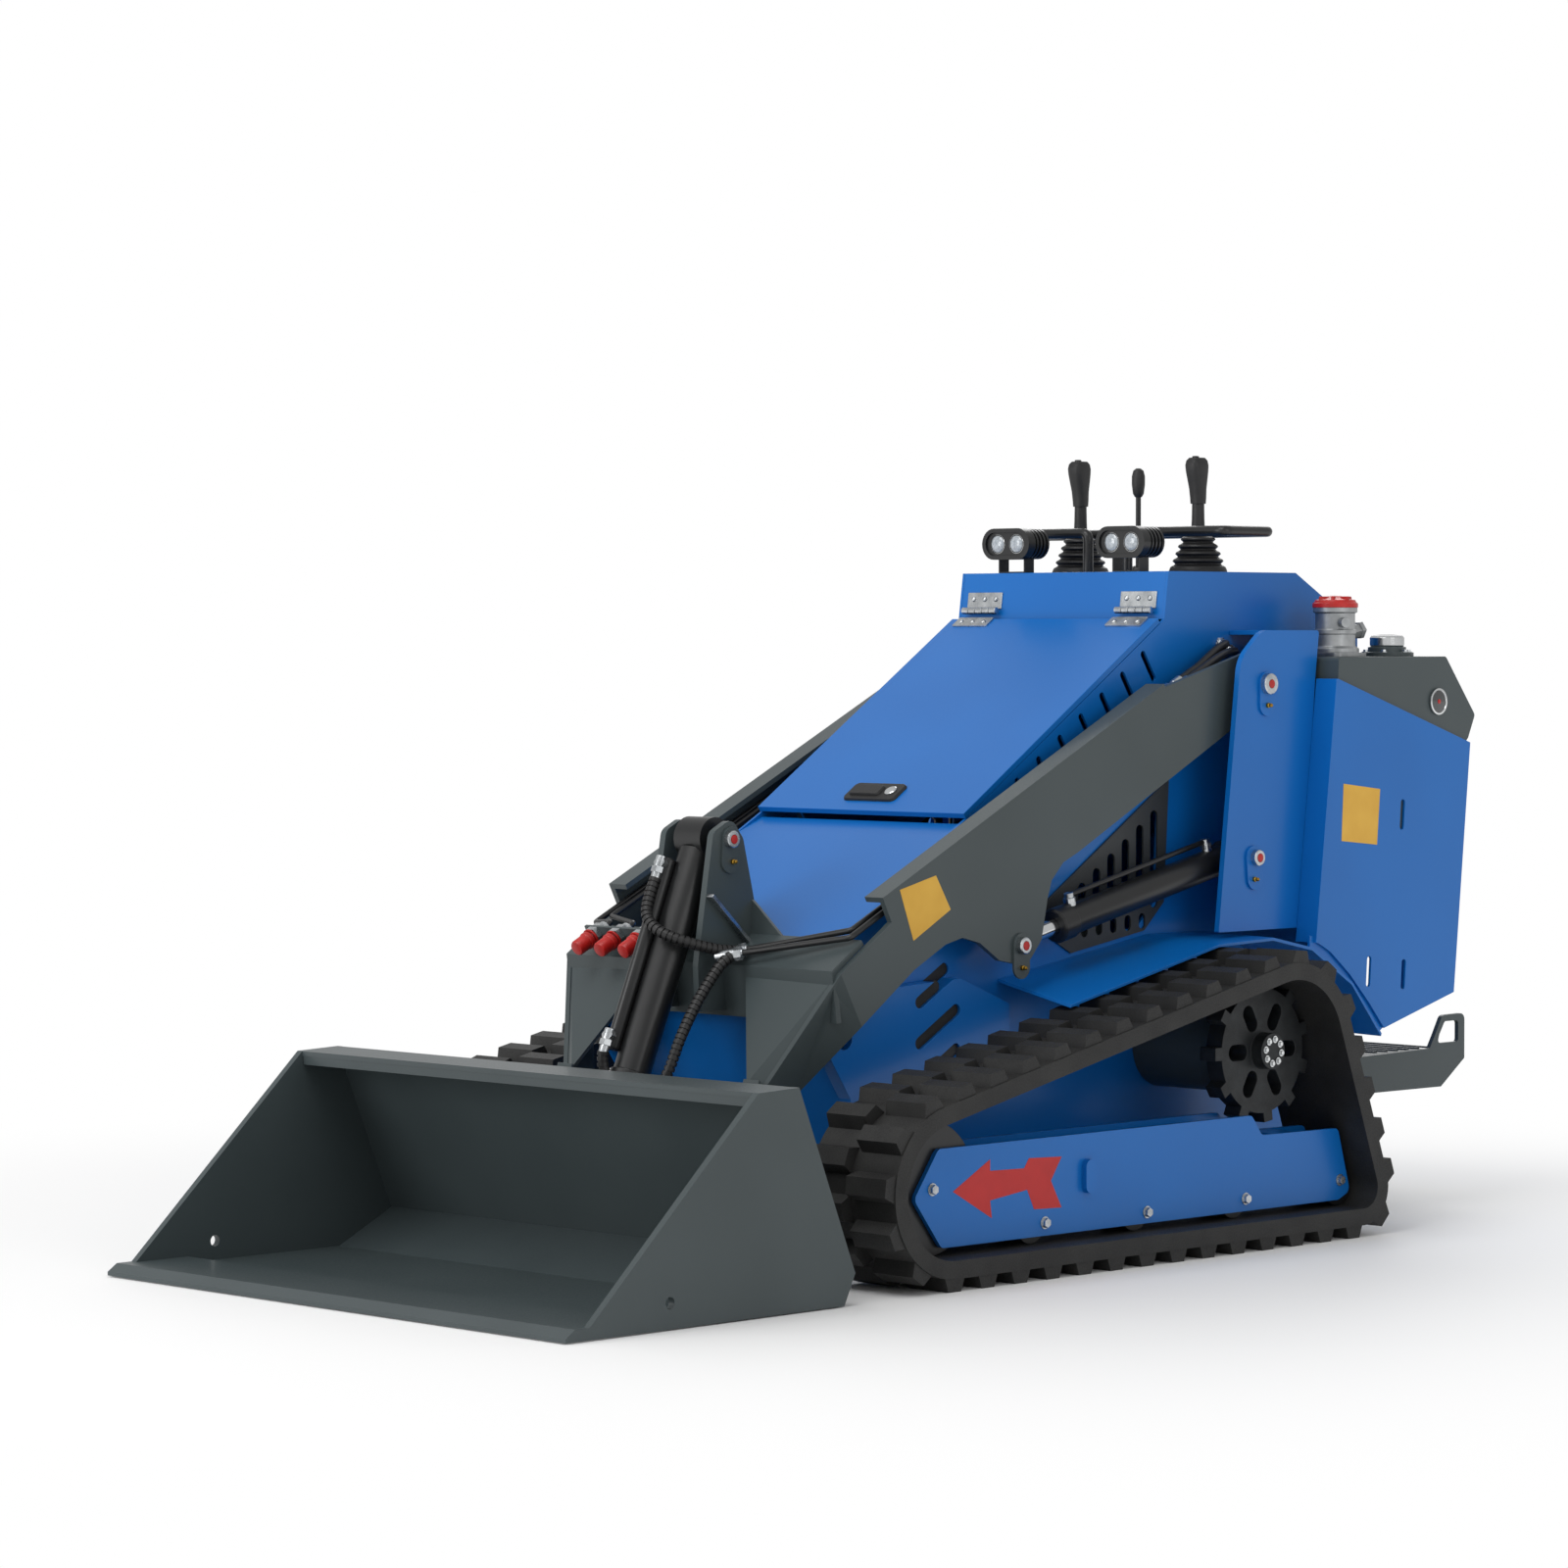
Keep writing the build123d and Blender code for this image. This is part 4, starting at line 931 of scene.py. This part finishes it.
# Bucket: folded top lip, wedge in its heel, and a drain hole in each side
bucketLip = {"outline": [(803, 331), (806, 331), (804, 309), (797, 309), (797, 324)], "halfWidth": 517}
bucketWedge = {"outline": [(735, 8), (618, 66), (612, 50), (629, 8)], "halfWidth": 517.8}
drainHole = {"circle": (985, 40, 9), "cut": (-540, 540)}
for name, part in (("bucketLip", bucketLip), ("bucketWedge", bucketWedge)):
    addPiece(name, [prism(part["outline"], -part["halfWidth"], part["halfWidth"])], "greyPowderCoat", "bucket", 0.6)
shell = cutOut(mergedCopy("bucket"), [prism(ring(*drainHole["circle"]), *drainHole["cut"])])
addPiece("bucketShell", shell, "greyPowderCoat", "bucket", 1.2, ["bucket"])

# Platform: tread bars
tread = {"first": -1140, "pitch": 30, "bars": 6, "bar": (8, 500, 3), "faces": (267.5, 270.5)}
bars = [roundBox(tread["first"] + tread["pitch"] * i, 0, *tread["bar"]) for i in range(tread["bars"])]
addPiece("platformTread", [prism(bar, *tread["faces"], upward) for bar in bars], "greyPowderCoat", "chassis", 0.6)

# Every other CAD node is dressed: its loose triangles are merged, flat faces joined and edges rounded.
dressing = {
    "bluePowderCoat": ["nose_panel", "console", "hood_lid", "fender", "side_panel", "tower"],
    "greyPowderCoat": ["lift_arm", "arm_yoke", "quick_coupler", "hydraulic_tank", "fuel_tank", "platform",
                       "drive_motor", "engine_block"],
    "blackEnamel": ["lift_barrel", "tilt_barrel", "rollers"],
    "hardChrome": ["lift_rod", "tilt_rod"],
    "trackRubber": ["track_left", "track_right"],
    "castSteel": ["sprocket"],
}
roundings = {"track_left": 1.5, "track_right": 1.5}  # in millimetres; 1 for the others
madeAnew = ("hull_side", "joystick", "work_lamp", "centre_lever", "hand_bar", "filter", "track_frame", "bucket")
lookOfStart = {start: look for look, starts in dressing.items() for start in starts}
for name in sorted(nodes):
    if not name.startswith(madeAnew):
        look = next(look for start, look in lookOfStart.items() if name.startswith(start))
        addPiece(camel(name), mergedCopy(name), look, bodyOfNode[name], roundings.get(name, 1.0), [name])
print("dressed nodes")

# Camera, lights and floor
cameraView = {"place": (5.9033, 5.7098, 0.9966), "target": (0.2272, 0.0, 0.7601), "lens": 114.45, "sensor": 36.0}
lampTable = [
    # name, place, target, size, power in watts
    ("keySoftbox", (3.5, 0.5, 5.5), (0.0, 0.0, 0.6), 3.5, 150),
    ("frontSoftbox", (5.5, -2.0, 1.8), (0.8, 0.0, 0.3), 2.4, 75),
    ("sideSoftbox", (0.5, 6.0, 2.6), (0.0, 0.0, 0.5), 3.0, 35),
    ("backSoftbox", (-4.5, -3.0, 4.0), (0.0, 0.0, 0.6), 3.0, 90),
]
# The camera sees the world at full strength, and the machine is lit by less of it.
studio = {"white": (1, 1, 1, 1), "lightStrength": 0.6, "seenStrength": 1.0}
# The floor turns into plain white light between two distances from the machine, so it has no horizon.
paleFloor = {"reach": 60, "fadeStart": 0.9, "fadeEnd": 2.6, "colour": (0.9, 0.9, 0.9, 1), "roughness": 0.6}


# Something that stands at a place and looks at a point.
def addAimed(name, data, place, target):
    thing = linked(name, data)
    thing.location = place
    thing.rotation_euler = (Vector(target) - Vector(place)).to_track_quat("-Z", "Y").to_euler()
    return thing


camera = addAimed("photoCamera", bpy.data.cameras.new("photoCamera"), cameraView["place"], cameraView["target"])
camera.data.lens = cameraView["lens"]
camera.data.sensor_width = cameraView["sensor"]
bpy.context.scene.camera = camera

for name, place, target, size, power in lampTable:
    lamp = addAimed(name, bpy.data.lights.new(name, "AREA"), place, target)
    lamp.data.shape = "SQUARE"
    lamp.data.size = size
    lamp.data.energy = power

world = bpy.data.worlds.new("studio")
bpy.context.scene.world = world
world.use_nodes = True
tree = world.node_tree
tree.nodes.clear()
rays = addNode(tree, "ShaderNodeLightPath")
level = addNode(tree, "ShaderNodeMapRange", {"To Min": studio["lightStrength"], "To Max": studio["seenStrength"]},
                {"Value": rays.outputs["Is Camera Ray"]})
sky = addNode(tree, "ShaderNodeBackground", {"Color": studio["white"]}, {"Strength": level.outputs["Result"]})
addNode(tree, "ShaderNodeOutputWorld", None, {"Surface": sky.outputs["Background"]})

floorMesh = bpy.data.meshes.new("floor")
corners = [(u * paleFloor["reach"], v * paleFloor["reach"], 0) for u, v in ((-1, -1), (1, -1), (1, 1), (-1, 1))]
floorMesh.from_pydata(corners, [], [(0, 1, 2, 3)])
floor = linked("floor", floorMesh)
material, tree = newMaterial("paleFloor")
place = addNode(tree, "ShaderNodeTexCoord")
distance = addNode(tree, "ShaderNodeVectorMath", {"operation": "LENGTH"})
tree.links.new(place.outputs["Object"], distance.inputs[0])
fade = addNode(tree, "ShaderNodeMapRange", {"interpolation_type": "SMOOTHSTEP", "From Min": paleFloor["fadeStart"],
                                            "From Max": paleFloor["fadeEnd"]}, {"Value": distance.outputs["Value"]})
shader = addNode(tree, "ShaderNodeBsdfPrincipled",
                 {"Base Color": paleFloor["colour"], "Roughness": paleFloor["roughness"]})
glow = addNode(tree, "ShaderNodeEmission", {"Color": studio["white"], "Strength": studio["seenStrength"]})
mixed = addNode(tree, "ShaderNodeMixShader", None, {"Fac": fade.outputs["Result"]})
tree.links.new(shader.outputs["BSDF"], mixed.inputs[1])
tree.links.new(glow.outputs["Emission"], mixed.inputs[2])
addNode(tree, "ShaderNodeOutputMaterial", None, {"Surface": mixed.outputs["Shader"]})
floorMesh.materials.append(material)
bpy.context.scene.view_settings.view_transform = "Standard"

print("scene ready")
